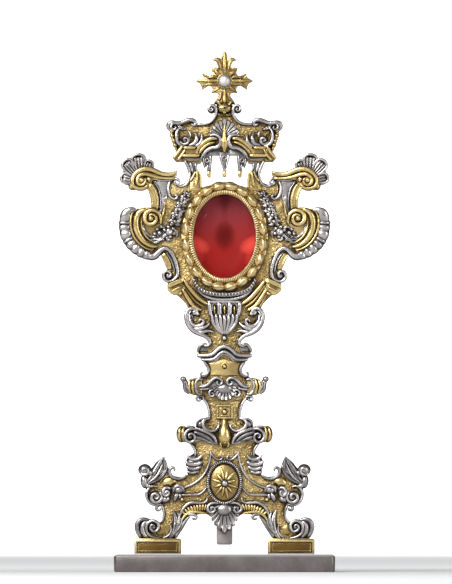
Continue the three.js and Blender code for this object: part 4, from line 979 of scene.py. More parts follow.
# These fillets and curls take the darker silvering: painted shade.
cast_on(
    SHADED_SILVER,
    band([(28.8, 74), (31.8, 72), (35.6, 71.2), (39.4, 72.4), (41.8, 75), (42, 78), (40.2, 79.9),
          (38.2, 79), (38.4, 76.9)], [1.6, 2.4, 2.6, 2.6, 2.7, 2.7, 2.6, 2.2, 1.5], [9, 9.4, 9.6, 10]),
    band([(47.8, 51.2), (50.6, 50.9), (52.4, 49.2), (51.4, 47.3), (49.3, 47.6), (49.2, 49.2)],
         [1.6, 2.5, 2.7, 2.6, 2.2, 1.5], [9, 9.6, 10.2]),
    band([(37.4, 26), (35.8, 30), (33.2, 33.8), (30.8, 37.4), (28.6, 40.6), (26.6, 42.4)],
         [2, 3.4, 3.4, 3, 2.6, 1.6], 9),
    band([(28, 43.6), (25.4, 44), (22.2, 43.2), (21.4, 41.4), (23.2, 40.3), (25, 41.2)],
         [1.6, 2.3, 2.6, 2.5, 2.2, 1.5], [9, 9.8, 10.4]),
)

# Foot, gilt gadroons under the arch: a row of narrow swelling ribs above a plain roll.
cast_on(
    GILT,
    band([(33.2, 38.6), (30.4, 42.8), (26.4, 45.4), (20.4, 45.6), (14, 44.6)], [1.4, 2.4, 2.6, 2.4, 1.6],
         9),
)
gadroon_count = 9
for i in range(gadroon_count):
    share = i / (gadroon_count - 1)
    x = 14.6 + 16.4 * share
    z = 49.4 - 4.6 * share**2.6
    cast_on(GILT, dome(x, z, 1.1, 2.9, 9, tilt=18 - 62 * share, sides=14))

# Foot, silvered volutes at the ends: three coils seen one behind another, a small coil below them, and
# a loop that closes them off outside.
cast_on(
    SILVERED,
    dome(34.8, 62.9, 4.8, 3.5, 11, tilt=-12),
    band([(30.8, 60.8), (32, 64.2), (35.4, 65.9), (38.6, 64), (39.2, 60.6)], [1.6, 2.6, 3, 2.8, 1.8],
         [9.6, 11.4, 12, 11.4, 10]),
    band([(35.8, 60), (37.2, 57.6), (38.4, 53.4)], [3, 3.8, 3], [10.4, 10.6, 9]),
    dome(34.2, 58, 1.9, 2.7, 9),
    dome(44.3, 60.4, 4, 4.4, 11.6),
    band(spiral(44.2, 60.6, 4.2, 1.2, 140, -420, squeeze=0.86), [2.2, 2.8, 2.8, 2.2, 1.6],
         [11, 12.4, 12.8, 13]),
    dome(45, 55.6, 4, 3.3, 11, tilt=-20),
    dome(52.6, 57.2, 5.4, 5.4, 10.6),
    band([(47.6, 60.6)] + spiral(52.6, 57.1, 5, 1.2, 130, 520), [1.8, 3, 3.2, 3, 2.8, 2.4, 1.8],
         [11, 12, 12.8, 13.4]),
    band([(51.4, 64.9), (54.9, 65.7), (58, 63.8), (59.7, 60), (59, 55.8), (56.4, 52.6), (52.8, 51.3),
          (48.6, 51.7)], [1.2, 2, 2.4, 2.6, 2.6, 2.6, 2.4, 1.6], [9, 10, 10.4, 10]),
)
cast_on(GILT, dome(42.4, 68.8, 6.6, 4.6, 8.4, tilt=-14, sides=28), dome(32.4, 55.2, 1.7, 1.7, 9.8))

# Foot, silvered leaves and knobs above the volutes: a tall pointed leaf that folds down over the side,
# a narrower one below it, a ball at the corner and a small urn beside the medallion.
# The tall leaf and the ball take the darker silvering: painted shade.
cast_on(
    SHADED_SILVER,
    plate(outline_of([(52, 71), (46, 74.6), (43, 79.4)], [(44.4, 84), (46.5, 88.8)],
                     [(51, 83), (55, 77.4)]), 8.2, soft=1.4),
    leaf([(60.6, 65.6), (57, 70.4), (53.4, 76.2), (50, 82.4), (46.9, 88)], [5, 7.4, 8, 6, 1.2],
         [10.4, 11.6, 11.6, 10.6, 9], 0),
    band([(46.2, 78), (45.6, 83), (46.5, 88.4)], [1.4, 1.8, 1], 9.8),
    leaf([(61.4, 67), (55.8, 69), (50, 72), (46, 76), (44, 80)], [3.4, 5, 5, 3.8, 1], [9.8, 10.2, 9.6, 8.6],
         0),
    dome(61, 78, 5.1, 4.7, 12.4),
    dome(56.8, 75.6, 2.8, 2.6, 11.4),
    dome(61.4, 69.2, 3, 5.4, 11.4, tilt=-6),
)
cast_on(
    SILVERED,
    band([(57.6, 68.6), (52.6, 72.6), (49.4, 77.6), (47.6, 82)], [1, 1.8, 1.8, 0.7], [12, 12.4, 11.4]),
    band(spiral(60.8, 77.6, 3.8, 1, -30, -330), [2, 2.4, 2, 1.4], [11.4, 13, 13.6]),
    dome(58.6, 66, 3.4, 2.2, 10.6, tilt=30),
    dome(23.4, 82.6, 6.4, 7.4, 9.4),
    band([(17.5, 89.3), (19.3, 86.9), (22.8, 85.9), (26.4, 86.9), (28.3, 89.4)], [1.8, 2.8, 3, 2.8, 1.8],
         10.6),
    band([(17.3, 84.2), (20, 82.6), (24, 82.1), (28, 83), (29.8, 84.9)], [2, 3.5, 3.9, 3.5, 2], 11.4),
    band([(18, 80.6), (21, 79.1), (25, 78.8), (29.4, 80.4)], [2, 3.1, 3.3, 2], 10.6),
    band([(20.4, 77), (24, 75.7), (29, 76.8)], [1.8, 2.8, 2.2], 9.6),
    dome(20.6, 76.6, 1.4, 1.9, 8.8),
)

# Foot, legs: a broad silvered leaf on the inner side and a thick coil on the outer one, whose turns
# show side by side.
cast_on(
    SILVERED,
    leaf([(42, 25.4), (38.6, 30.4), (37.2, 36.4), (37.6, 41.6), (39.4, 47.2)], [4, 6.4, 6.8, 5, 1],
         [9.2, 10.6, 11, 10, 8.6], 0),
    leaf([(37, 33), (35, 38), (34.6, 41.6), (35.8, 45.4)], [2, 3.6, 3.2, 0.9], [10.4, 11, 10.4, 9], 0),
    band([(41.4, 36), (41, 31.6), (43, 27.7), (47, 25.9)], [1, 1.7, 1.8, 1.2], 9.4),
    leaf([(39, 29), (35.4, 33.6), (33.6, 37.2), (32.2, 41.4)], [2, 4, 3.6, 1], [10, 10.8, 10.2, 8.8], 0),
    plate(outline_of([(56, 25), (63.6, 25.4), (66.8, 29)], [(68.6, 34.6), (67.4, 38.6), (64.6, 40.4)],
                     [(60, 40.6), (57, 34), (56, 25)]), 7.6),
    band([(57.6, 38), (61, 37.6), (62.8, 33.8), (61.6, 29), (58.8, 25.8)], [2.2, 3.4, 3.8, 3.4, 2.4],
         [10.8, 11.8, 11.8, 10.6]),
    dome(54.6, 34.2, 4.8, 5, 10.4),
    band([(50, 25.8), (55, 26.6), (58.8, 29.4), (59.9, 33.8), (58.2, 37.6), (54.6, 39), (51.2, 37.3),
          (50.4, 33.8), (52.4, 31), (55.4, 31.4), (56.8, 34), (55.4, 36.2), (53.4, 35.2)],
         [1.6, 2.6, 3, 3.2, 3.2, 3, 2.9, 2.7, 2.5, 2.3, 2, 1.6, 1.2], [9.4, 10.6, 11.6, 12, 12.6, 13.2]),
)
# The outer turn of the coil takes the darker silvering: painted shade.
cast_on(
    SHADED_SILVER,
    band([(56.4, 38.8), (61, 40.2), (65, 39.3), (67, 35.6), (66.2, 30.6), (63.8, 26)],
         [2.4, 3.2, 3.8, 4, 3.8, 3], [9.6, 10.6, 10.6, 10]),
)
# A low dome in the darker gilt behind the leg: painted shade.
cast_on(SHADED_GILT, dome(48, 32, 5, 5.6, 7.4, tilt=10, sides=28))

# Foot, silvered shell that hangs between the legs, with a coil at each upper corner.
# The hanging shell takes the darker silvering: painted shade on its downward lobes.
cast_on(
    SHADED_SILVER,
    shell(0, 53, -156, -24, 11, [12.6, 15, 17.2, 20.4, 23.8, 20.8, 17.4, 15, 12.6], 9.6, sink=1.3,
          flare=0.3),
    dome(0, 47.4, 6.4, 5, 10.9, base=7.8, sides=28),
    both=False,
)
cast_on(
    SILVERED,
    dome(9.8, 48.9, 2.4, 2.4, 9.4),
    band([(3.2, 52), (6.6, 52.8), (10.6, 52), (12.9, 49.4), (12.2, 46.4), (9.4, 45.4), (7.4, 47.2),
          (8.2, 49.5), (10, 49.2)], [1.4, 2, 2.3, 2.4, 2.3, 2.2, 2, 1.7, 1.2], [9.4, 10, 10.8, 11.4]),
)


# Foot blocks: two square gilt feet at the ends of the casting, pinned to the plinth from below. Each
# has a framed front panel, filled with a dark gilt sheet that paints shade in the recess.
def box_with_panel(x_range, z_range, h_range, panel, depth, soft):
    """A block with softened front edges and a recessed panel in its front."""
    (x0, x1), (z0, z1), (h0, h1) = x_range, z_range, h_range
    px0, px1, pz0, pz1 = panel
    rings = [(x0, x1, z0, z1, h0), (x0, x1, z0, z1, h1 - soft),
             (x0 + soft * 0.3, x1 - soft * 0.3, z0 + soft * 0.3, z1 - soft * 0.3, h1 - soft * 0.3),
             (x0 + soft, x1 - soft, z0 + soft, z1 - soft, h1),
             (px0 - 0.5, px1 + 0.5, pz0 - 0.5, pz1 + 0.5, h1), (px0, px1, pz0, pz1, h1 - 0.4),
             (px0 + 0.3, px1 - 0.3, pz0 + 0.3, pz1 - 0.3, h1 - depth)]
    points = []
    for a, b, c, d, h in rings:
        points.extend([(a, c, h), (b, c, h), (b, d, h), (a, d, h)])
    faces = [(3, 2, 1, 0)]
    for i in range(len(rings) - 1):
        for j in range(4):
            k = (j + 1) % 4
            faces.append((4 * i + j, 4 * i + k, 4 * i + 4 + k, 4 * i + 4 + j))
    last = 4 * (len(rings) - 1)
    faces.append((last, last + 1, last + 2, last + 3))
    return np.array(points), faces


cast_on(
    GILT,
    box_with_panel((33.1, 68.9), (13.8, 25), (-6, 14.8), (35.3, 66.9, 15.1, 22.6), 2.6, 1.1),
    box_with_panel((35.9, 66.3), (15.5, 22.1), (8, 14.2), (36.7, 65.5, 16.2, 21.4), 0.9, 0.3),
    box_with_panel((34.4, 67.6), (22.6, 25.6), (-5, 13.4), (38, 64, 23.4, 24.4), 0.5, 0.7),
)
# A dark gilt sheet in each recessed panel: painted shade.
cast_on(
    SHADED_PANEL,
    plate(outline_of([(36.8, 16.2), (65.4, 16.2)], [(65.4, 21.4)], [(36.8, 21.4)]), 13.5, soft=0.2),
)


# Metal of the casting: one pour of brass, then gilt or silvered piece by piece. Both platings keep dark wax
# in the hollows, and painted shade darkens the hollows, the ground near raised pieces and the steep sides.
def node_group(name, inputs, outputs):
    """A shader group that takes numbers, given here with their defaults, and gives numbers."""
    group = bpy.data.node_groups.new(name, "ShaderNodeTree")
    for label, default in inputs.items():
        socket = group.interface.new_socket(label, in_out="INPUT", socket_type="NodeSocketFloat")
        socket.default_value = default
    for label in outputs:
        group.interface.new_socket(label, in_out="OUTPUT", socket_type="NodeSocketFloat")
    return group, group.nodes.new("NodeGroupInput"), group.nodes.new("NodeGroupOutput")


def add_node(tree, kind, links=None, values=None, **settings):
    """A node with its settings, its plain values and what is linked to its inputs."""
    node = tree.nodes.new(kind)
    for key, value in settings.items():
        setattr(node, key, value)
    for key, value in (values or {}).items():
        node.inputs[key].default_value = value
    for key, source in (links or {}).items():
        tree.links.new(source, node.inputs[key])
    return node


def ramp(tree, source, *stops):
    """A colour ramp over a value: stops are (place, colour or grey)."""
    node = add_node(tree, "ShaderNodeValToRGB", {"Fac": source})
    elements = node.color_ramp.elements
    while len(elements) < len(stops):
        elements.new(0.5)
    for element, (place, colour) in zip(elements, stops):
        element.position = place
        element.color = (colour, colour, colour, 1) if isinstance(colour, (int, float)) else (*colour, 1)
    return node.outputs["Color"]


def maths(tree, operation, a, b=None, clamp=False):
    """Arithmetic on one or two values, each a socket or a number."""
    node = tree.nodes.new("ShaderNodeMath")
    node.operation = operation
    node.use_clamp = clamp
    for number, value in enumerate((a, b)):
        if isinstance(value, (int, float)):
            node.inputs[number].default_value = value
        elif value is not None:
            tree.links.new(value, node.inputs[number])
    return node.outputs[0]


def mixed(tree, share, a, b):
    """Two colours mixed by a share, each a socket or a plain colour."""
    node = add_node(tree, "ShaderNodeMix", data_type="RGBA")
    for name, value in (("Factor", share), ("A", a), ("B", b)):
        socket = next(s for s in node.inputs if s.name == name and s.enabled)
        if isinstance(value, bpy.types.NodeSocket):
            tree.links.new(value, socket)
        else:
            socket.default_value = value if name == "Factor" else (*value, 1)
    return next(s for s in node.outputs if s.enabled)


# Dirt and painted shade: dark wax and oxide, with painted shade, where surfaces close in on each other, in
# uneven patches; painted shade also further out from raised pieces and on steep sides that turn from the
# front.
dirt_and_shade_group, dirt_and_shade_in, dirt_and_shade_out = node_group(
    "wax_and_painted_shade",
    {"Reach": 0.004, "Patchiness": 0.4, "SideShade": 0.7},
    ["Hollow", "Shade", "Patches"],
)
tree = dirt_and_shade_group
place = add_node(tree, "ShaderNodeTexCoord").outputs["Object"]
closeness = add_node(tree, "ShaderNodeAmbientOcclusion", {"Distance": dirt_and_shade_in.outputs["Reach"]}, samples=6)
far_reach = maths(tree, "MULTIPLY", dirt_and_shade_in.outputs["Reach"], 3.5)
shelter = add_node(tree, "ShaderNodeAmbientOcclusion", {"Distance": far_reach}, samples=6)
patches = add_node(tree, "ShaderNodeTexNoise", {"Vector": place},
                   {"Scale": 55, "Detail": 5, "Roughness": 0.62}).outputs["Fac"]
shut = maths(tree, "SUBTRACT", 1, closeness.outputs["AO"])
patchy = maths(tree, "SUBTRACT", patches, 0.5)
uneven = maths(tree, "MULTIPLY", patchy, dirt_and_shade_in.outputs["Patchiness"])
hollow = maths(tree, "ADD", shut, maths(tree, "MULTIPLY", uneven, shut), clamp=True)
# Painted shade: the ground is darker further out from raised pieces.
sheltered = maths(tree, "SUBTRACT", 1, shelter.outputs["AO"])
shade = maths(tree, "ADD", sheltered, uneven, clamp=True)
tree.links.new(shade, dirt_and_shade_out.inputs["Shade"])
# Painted shade on steep sides: the more a surface turns from the front, the darker it is painted.
facing_way = add_node(tree, "ShaderNodeTexCoord").outputs["Normal"]
facing = add_node(tree, "ShaderNodeSeparateXYZ", {"Vector": facing_way}).outputs["Y"]
steep = maths(tree, "SUBTRACT", 0.84, maths(tree, "ABSOLUTE", facing))
steep_share = maths(tree, "MULTIPLY", steep, 3, clamp=True)
painted_side_shade = maths(tree, "MULTIPLY", steep_share, dirt_and_shade_in.outputs["SideShade"])
tree.links.new(maths(tree, "MAXIMUM", hollow, painted_side_shade), dirt_and_shade_out.inputs["Hollow"])
tree.links.new(patches, dirt_and_shade_out.inputs["Patches"])

# Skin of the casting: fine sand grain and punch marks, given as one height for the bump.
skin_group, skin_in, skin_out = node_group(
    "cast_skin",
    {"Grain": 900, "Hammering": 0.5, "Heave": 0.5},
    ["Height"],
)
tree = skin_group
place = add_node(tree, "ShaderNodeTexCoord").outputs["Object"]
grain = add_node(tree, "ShaderNodeTexNoise", {"Vector": place, "Scale": skin_in.outputs["Grain"]},
                 {"Detail": 3, "Roughness": 0.6}).outputs["Fac"]
punches = add_node(tree, "ShaderNodeTexVoronoi", {"Vector": place}, {"Scale": 950},
                   feature="SMOOTH_F1").outputs["Distance"]
swells = add_node(tree, "ShaderNodeTexNoise", {"Vector": place}, {"Scale": 420, "Detail": 2}).outputs["Fac"]
fine = maths(tree, "MULTIPLY", grain, 0.4)
marks = maths(tree, "ADD", punches, swells)
beaten = maths(tree, "MULTIPLY", marks, skin_in.outputs["Hammering"])
slow = add_node(tree, "ShaderNodeTexNoise", {"Vector": place}, {"Scale": 130, "Detail": 2}).outputs["Fac"]
heaved = maths(tree, "MULTIPLY", slow, skin_in.outputs["Heave"])
height = maths(tree, "ADD", heaved, maths(tree, "ADD", fine, beaten))
tree.links.new(height, skin_out.inputs["Height"])


def grouped(tree, group, values):
    """What a shader group gives for plain values."""
    return add_node(tree, "ShaderNodeGroup", values=values, node_tree=group).outputs


def plated_metal(name, bright, warm, dark, wax_and_shade, roughness, reach=0.0013, sides=0.6, hammering=0.5,
                 heave=1.0, bump=0.4, deep=0.0005):
    """Plated cast brass: bright metal, darker with painted shade near raised pieces, and dark wax with
    painted shade in the hollows and, as far as sides asks, on steep sides.
    """
    material = bpy.data.materials.new(name)
    material.use_nodes = True
    tree = material.node_tree
    tree.nodes.clear()
    dirt_and_shade = grouped(tree, dirt_and_shade_group, {"Reach": reach, "Patchiness": 0.7, "SideShade": sides})
    skin = grouped(tree, skin_group, {"Grain": 900, "Hammering": hammering, "Heave": heave})
    tarnish = ramp(tree, dirt_and_shade["Patches"], (0.38, 0.0), (0.64, 1.0))
    colour = mixed(tree, tarnish, bright, warm)
    # Painted shade near raised pieces, in the dark colour.
    colour = mixed(tree, ramp(tree, dirt_and_shade["Shade"], (0.22, 0.0), (0.75, 1.0)), colour, dark)
    # Wax and painted shade in the hollows and on steep sides.
    wax_and_shade_share = ramp(tree, dirt_and_shade["Hollow"], (0.34, 0.0), (0.66, 1.0))
    matt = maths(tree, "ADD", roughness, maths(tree, "MULTIPLY", dirt_and_shade["Patches"], 0.16))
    edge_radius = 0.0004
    bevel = add_node(tree, "ShaderNodeBevel", values={"Radius": edge_radius}, samples=4)
    uneven = add_node(tree, "ShaderNodeBump", {"Height": skin["Height"], "Normal": bevel.outputs["Normal"]},
                      {"Strength": bump, "Distance": deep})
    metal = add_node(tree, "ShaderNodeBsdfPrincipled",
                     {"Base Color": colour, "Roughness": matt, "Normal": uneven.outputs["Normal"]},
                     {"Metallic": 1.0, "Specular IOR Level": 0.5})
    wax_and_shade_shader = add_node(tree, "ShaderNodeBsdfPrincipled", {"Normal": uneven.outputs["Normal"]},
                           {"Base Color": (*wax_and_shade, 1), "Roughness": 0.55, "Specular IOR Level": 0.35})
    layered = add_node(tree, "ShaderNodeMixShader",
                       {0: wax_and_shade_share, 1: metal.outputs[0], 2: wax_and_shade_shader.outputs[0]})
    add_node(tree, "ShaderNodeOutputMaterial", {"Surface": layered.outputs[0]})
    return material


def shaped(name, points, faces, materials, slots=None):
    """An object from points in metres, smooth but for its sharp edges."""
    mesh = bpy.data.meshes.new(name)
    mesh.from_pydata([tuple(p) for p in points], [], faces)
    mesh.update()
    for material in materials:
        mesh.materials.append(material)
    if slots is not None:
        mesh.polygons.foreach_set("material_index", slots)
    mesh.shade_smooth()
    sharp_above = 38
    mesh.set_sharp_from_angle(angle=math.radians(sharp_above))
    made = bpy.data.objects.new(name, mesh)
    bpy.context.scene.collection.objects.link(made)
    return made


gilt = plated_metal("gilt_brass", (0.84, 0.64, 0.29), (0.6, 0.43, 0.17), (0.26, 0.17, 0.06),
                    (0.045, 0.03, 0.013), 0.16, hammering=0.28)
silvered = plated_metal("silvered_brass", (0.66, 0.625, 0.61), (0.38, 0.35, 0.34), (0.12, 0.107, 0.104),
                        (0.03, 0.026, 0.026), 0.16, sides=0.8, hammering=0.25)
stippled_gilt = plated_metal("stippled_gilt_brass", (0.56, 0.415, 0.185), (0.38, 0.265, 0.1),
    (0.17, 0.105, 0.038), (0.045, 0.03, 0.013), 0.26, reach=0.0022, hammering=1.0, heave=2.4, bump=1.0,
    deep=0.0008)
# A darker copy of the silvering: painted shade.
shaded_silver = plated_metal("shaded_silver", (0.47, 0.445, 0.435), (0.22, 0.205, 0.2), (0.08, 0.07, 0.068),
                             (0.025, 0.021, 0.021), 0.2, hammering=0.3)
# A darker copy of the gilt: painted shade.
shaded_gilt = plated_metal("shaded_gilt_brass", (0.55, 0.385, 0.16), (0.3, 0.19, 0.065), (0.12, 0.07, 0.024),
                         (0.04, 0.026, 0.011), 0.2, hammering=0.2)
# A dark gilt for the foot blocks' panels: painted shade.
shaded_panel_gilt = plated_metal("shaded_panel_gilt_brass", (0.21, 0.125, 0.038), (0.15, 0.085, 0.026),
    (0.09, 0.05, 0.016), (0.03, 0.02, 0.009), 0.24, hammering=0.2)
MM = 0.001
casting_points = np.vstack(casting["points"]) * MM
finishes = [gilt, silvered, stippled_gilt, shaded_gilt, shaded_silver, shaded_panel_gilt]
casting_object = shaped("relief_casting", casting_points, casting["faces"], finishes, casting["metals"])
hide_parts("relief")
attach(casting_object, "root")


# Bezel: a separate gilt cast frame riveted over the oval opening, with a ring of long beads between a
# smooth outer rim and a finely milled inner lip that holds the glass.
BEZEL_BACK = 6.3


def oval_band(half_width, half_height, width, top):
    """A flat moulding round the window."""
    turn = np.linspace(0, 2 * math.pi, 73)
    line = list(zip(half_width * np.cos(turn), WINDOW_Z + half_height * np.sin(turn)))
    return band(line, width, top, FLAT, BEZEL_BACK, step=0.9, blunt=False)


def object_of(name, pieces, materials):
    """An object from pieces given in millimetres across, up and forward of the casting's back."""
    points = []
    faces = []
    start = 0
    for places, sides in pieces:
        placed = np.stack([places[:, 0], BACK_Y - places[:, 2], places[:, 1]], 1) * MM
        outward = facing_out(placed, sides)
        points.append(placed)
        faces.extend(tuple(start + i for i in face) for face in outward)
        start += len(places)
    return shaped(name, np.vstack(points), faces, materials)


lip_half_width = 25.6
lip_half_height = 33.9
bezel_pieces = [oval_band(29, 37.4, 9, 9), oval_band(lip_half_width, lip_half_height, 3.4, 10)]
milling_count = 120
milling_half_width = 25.1
milling_half_height = 33.4
for i in range(milling_count):
    a = 2 * math.pi * i / milling_count
    tilt = math.degrees(math.atan2(milling_half_height * math.sin(a), milling_half_width * math.cos(a)))
    x = lip_half_width * math.cos(a)
    z = WINDOW_Z + lip_half_height * math.sin(a)
    bezel_pieces.append(dome(x, z, 1.9, 0.6, 11.4, base=9, tilt=tilt, sides=10))
bead_count = 20
beads_half_width = 30
beads_half_height = 38.8
for i in range(bead_count):
    a = 2 * math.pi * (i + 0.5) / bead_count
    x = beads_half_width * math.cos(a)
    z = WINDOW_Z + beads_half_height * math.sin(a)
    tilt = math.degrees(math.atan2(beads_half_height * math.cos(a), -beads_half_width * math.sin(a)))
    bezel_pieces.append(dome(x, z, 5.8, 3.9, 12.8, base=6.6, tilt=tilt, sides=28))
    bezel_pieces.append(dome(x, z, 4.4, 1.6, 13.4, base=9.6, tilt=tilt + 8))
bright_gilt = plated_metal("bright_gilt_brass", (0.92, 0.74, 0.4), (0.72, 0.54, 0.25), (0.34, 0.23, 0.09),
                           (0.1, 0.066, 0.028), 0.2, reach=0.0009, sides=0.3, hammering=0.3)
bezel = object_of("bezel_frame", bezel_pieces, [bright_gilt])
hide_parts("bezel")
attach(bezel, "root")


# Window glass: a thin domed oval of clear glass that closes the relic window. It is ground to fit and
# held by the bezel's lip.
def oval_shell(name, rings, half_width, half_height, materials, sides=72, folds=None):
    """A closed oval dish or dome from rings of (share of the half sizes, height)."""
    turn = np.linspace(0, 2 * math.pi, sides, endpoint=False)
    points = []
    for share, up in rings:
        rise = folds(share, turn) if folds else 0 * turn
        points.extend(np.stack([share * half_width * np.cos(turn), BACK_Y - (up + rise),
                                WINDOW_Z + share * half_height * np.sin(turn)], 1))
    faces = ring_faces(len(rings), sides)
    points = np.array(points) * MM
    return shaped(name, points, facing_out(points, faces), materials)


glass = bpy.data.materials.new("clear_glass")
glass.use_nodes = True
glass_shader = glass.node_tree.nodes["Principled BSDF"]
clear = {"Base Color": (1, 1, 1, 1), "Roughness": 0.02, "IOR": 1.05, "Transmission Weight": 1.0,
         "Specular IOR Level": 0.05}
for label, value in clear.items():
    glass_shader.inputs[label].default_value = value
glass_seat = 5.7
glass_thickness = 1.5
glass_rise = 2.6
glass_edge = 0.93
glass_shares = (0.02, 0.2, 0.4, 0.6, 0.75, 0.86, glass_edge)
glass_front = [(s, glass_seat + glass_rise * (1 - (s / glass_edge) ** 2)) for s in glass_shares]
glass_back = [(s * 0.98, up - glass_thickness) for s, up in glass_front[::-1]]
glass_rim = [(0.99, glass_seat), (0.99, glass_seat - glass_thickness)]
glass_half_width = 24.7
glass_half_height = 33.1
window = oval_shell("window_glass_dome", glass_front + glass_rim + glass_back, glass_half_width,
                    glass_half_height, [glass])
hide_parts("window_glass")
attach(window, "root")


# Relic case: a pressed brass cup behind the opening, soldered to the back of the casting. Its back is
# plain and dull.
dull_brass = plated_metal("dull_brass", (0.6, 0.45, 0.23), (0.42, 0.31, 0.16), (0.16, 0.1, 0.05),
    (0.03, 0.02, 0.012), 0.42, sides=0, hammering=0.1, bump=0.15)
cup_rings = [(0.02, -9), (0.9, -9), (0.96, -8.9), (0.985, -8.5), (1, -7.8), (1, 3.8), (0.955, 3.8),
             (0.955, -7.7), (0.02, -7.7)]
cup_half_width = 24.6
cup_half_height = 33
case = oval_shell("relic_cup", cup_rings, cup_half_width, cup_half_height, [dull_brass])
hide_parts("relic_case")
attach(case, "root")


# Lining: red satin that covers the inside of the cup, laid in soft folds over a thin pad and glued
# down round its edge. Its colour holds painted light: a painted reflection that turns it darker and
# purplish towards the top, painted highlights at the sides and painted shade down the middle.
def satin_folds(share, turn):
    """Heights of the soft folds, which run from the middle of the dish to its rim."""
    radial = 0.5 * np.sin(7 * turn + 1.3) + 0.3 * np.sin(11 * turn + 4 * share)
    return 0.14 * radial * math.sin(math.pi * min(1.0, share * 1.03)) ** 2


satin = bpy.data.materials.new("red_satin")
satin.use_nodes = True
tree = satin.node_tree
cloth = tree.nodes["Principled BSDF"]
place = add_node(tree, "ShaderNodeTexCoord").outputs["Object"]
spot = add_node(tree, "ShaderNodeSeparateXYZ", {"Vector": place}).outputs
off_middle = maths(tree, "ABSOLUTE", maths(tree, "MULTIPLY", spot["X"], 1000))
up_satin = maths(tree, "MULTIPLY", spot["Z"], 1000)


def painted_light_patch(x, z, half_width, half_height, slant=0.0):
    """A soft share around a place on both sides of the middle, in millimetres, for the patches of painted
    highlight and painted shade.
    """
    aside = maths(tree, "SUBTRACT", off_middle, x)
    leaned = maths(tree, "SUBTRACT", up_satin, maths(tree, "MULTIPLY", aside, slant))
    wide = maths(tree, "POWER", maths(tree, "DIVIDE", aside, half_width), 2)
    tall = maths(tree, "POWER", maths(tree, "DIVIDE", maths(tree, "SUBTRACT", leaned, z), half_height), 2)
    return maths(tree, "SUBTRACT", 1, maths(tree, "ADD", wide, tall), clamp=True)


satin_foot = 225
satin_height = 64
rise_share = maths(tree, "MULTIPLY", maths(tree, "SUBTRACT", up_satin, satin_foot), 1 / satin_height,
                   clamp=True)
# Painted reflection: the satin turns darker and purplish towards the top.
satin_with_painted_light = ramp(tree, rise_share, (0.0, (0.28, 0.013, 0.009)), (0.36, (0.31, 0.014, 0.011)),
           (0.6, (0.29, 0.026, 0.027)), (0.85, (0.24, 0.038, 0.046)), (1.0, (0.19, 0.023, 0.03)))
# Painted light: bright patches at the sides are painted highlights, dark ones down the middle painted
# shade.
for patch, strength, tint in (
    (painted_light_patch(0, 290, 6, 14), 0.8, (0.09, 0.008, 0.01)),
    (painted_light_patch(0, 276, 3, 12), 0.4, (0.16, 0.012, 0.014)),
    (painted_light_patch(0, 238, 17, 16), 0.55, (0.27, 0.01, 0.009)),
    (painted_light_patch(0, 258, 9, 13), 1.0, (0.11, 0.003, 0.003)),
    (painted_light_patch(23, 274, 6, 16), 0.5, (0.24, 0.012, 0.012)),
    (painted_light_patch(24.5, 252, 14, 8, 0.25), 0.95, (0.85, 0.085, 0.06)),
    (painted_light_patch(22, 241, 7, 9), 0.6, (0.7, 0.05, 0.045)),
):
    satin_with_painted_light = mixed(tree, maths(tree, "MULTIPLY", patch, strength), satin_with_painted_light, tint)
weave = add_node(tree, "ShaderNodeTexWave", {"Vector": place}, {"Scale": 420, "Distortion": 1.5},
                 bands_direction="Z")
thread = add_node(tree, "ShaderNodeBump", {"Height": weave.outputs["Fac"]},
                  {"Strength": 0.12, "Distance": 0.0002})
tree.links.new(satin_with_painted_light, cloth.inputs["Base Color"])
tree.links.new(thread.outputs["Normal"], cloth.inputs["Normal"])
silky = {"Roughness": 0.5, "Sheen Weight": 0.05, "Sheen Roughness": 0.4, "Sheen Tint": (0.9, 0.2, 0.15, 1),
         "Specular IOR Level": 0.06}
for label, value in silky.items():
    cloth.inputs[label].default_value = value
lining_front = [(0.02, -5.4), (0.15, -5.4), (0.3, -5.2), (0.42, -4.8), (0.54, -4.2), (0.65, -3.4),
                (0.75, -2.4), (0.84, -1.1), (0.91, 0.6), (0.96, 2.4), (1.0, 3.4), (1.045, 4)]
lining_back = [(1.045, 3.85), (0.99, 2.6), (0.985, -6), (0.9, -7.4), (0.02, -7.4)]
lining_half_width = 23.1
lining_half_height = 31.3
lining = oval_shell("satin_lining", lining_front + lining_back, lining_half_width, lining_half_height,
                    [satin], sides=144, folds=satin_folds)
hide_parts("lining")
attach(lining, "root")


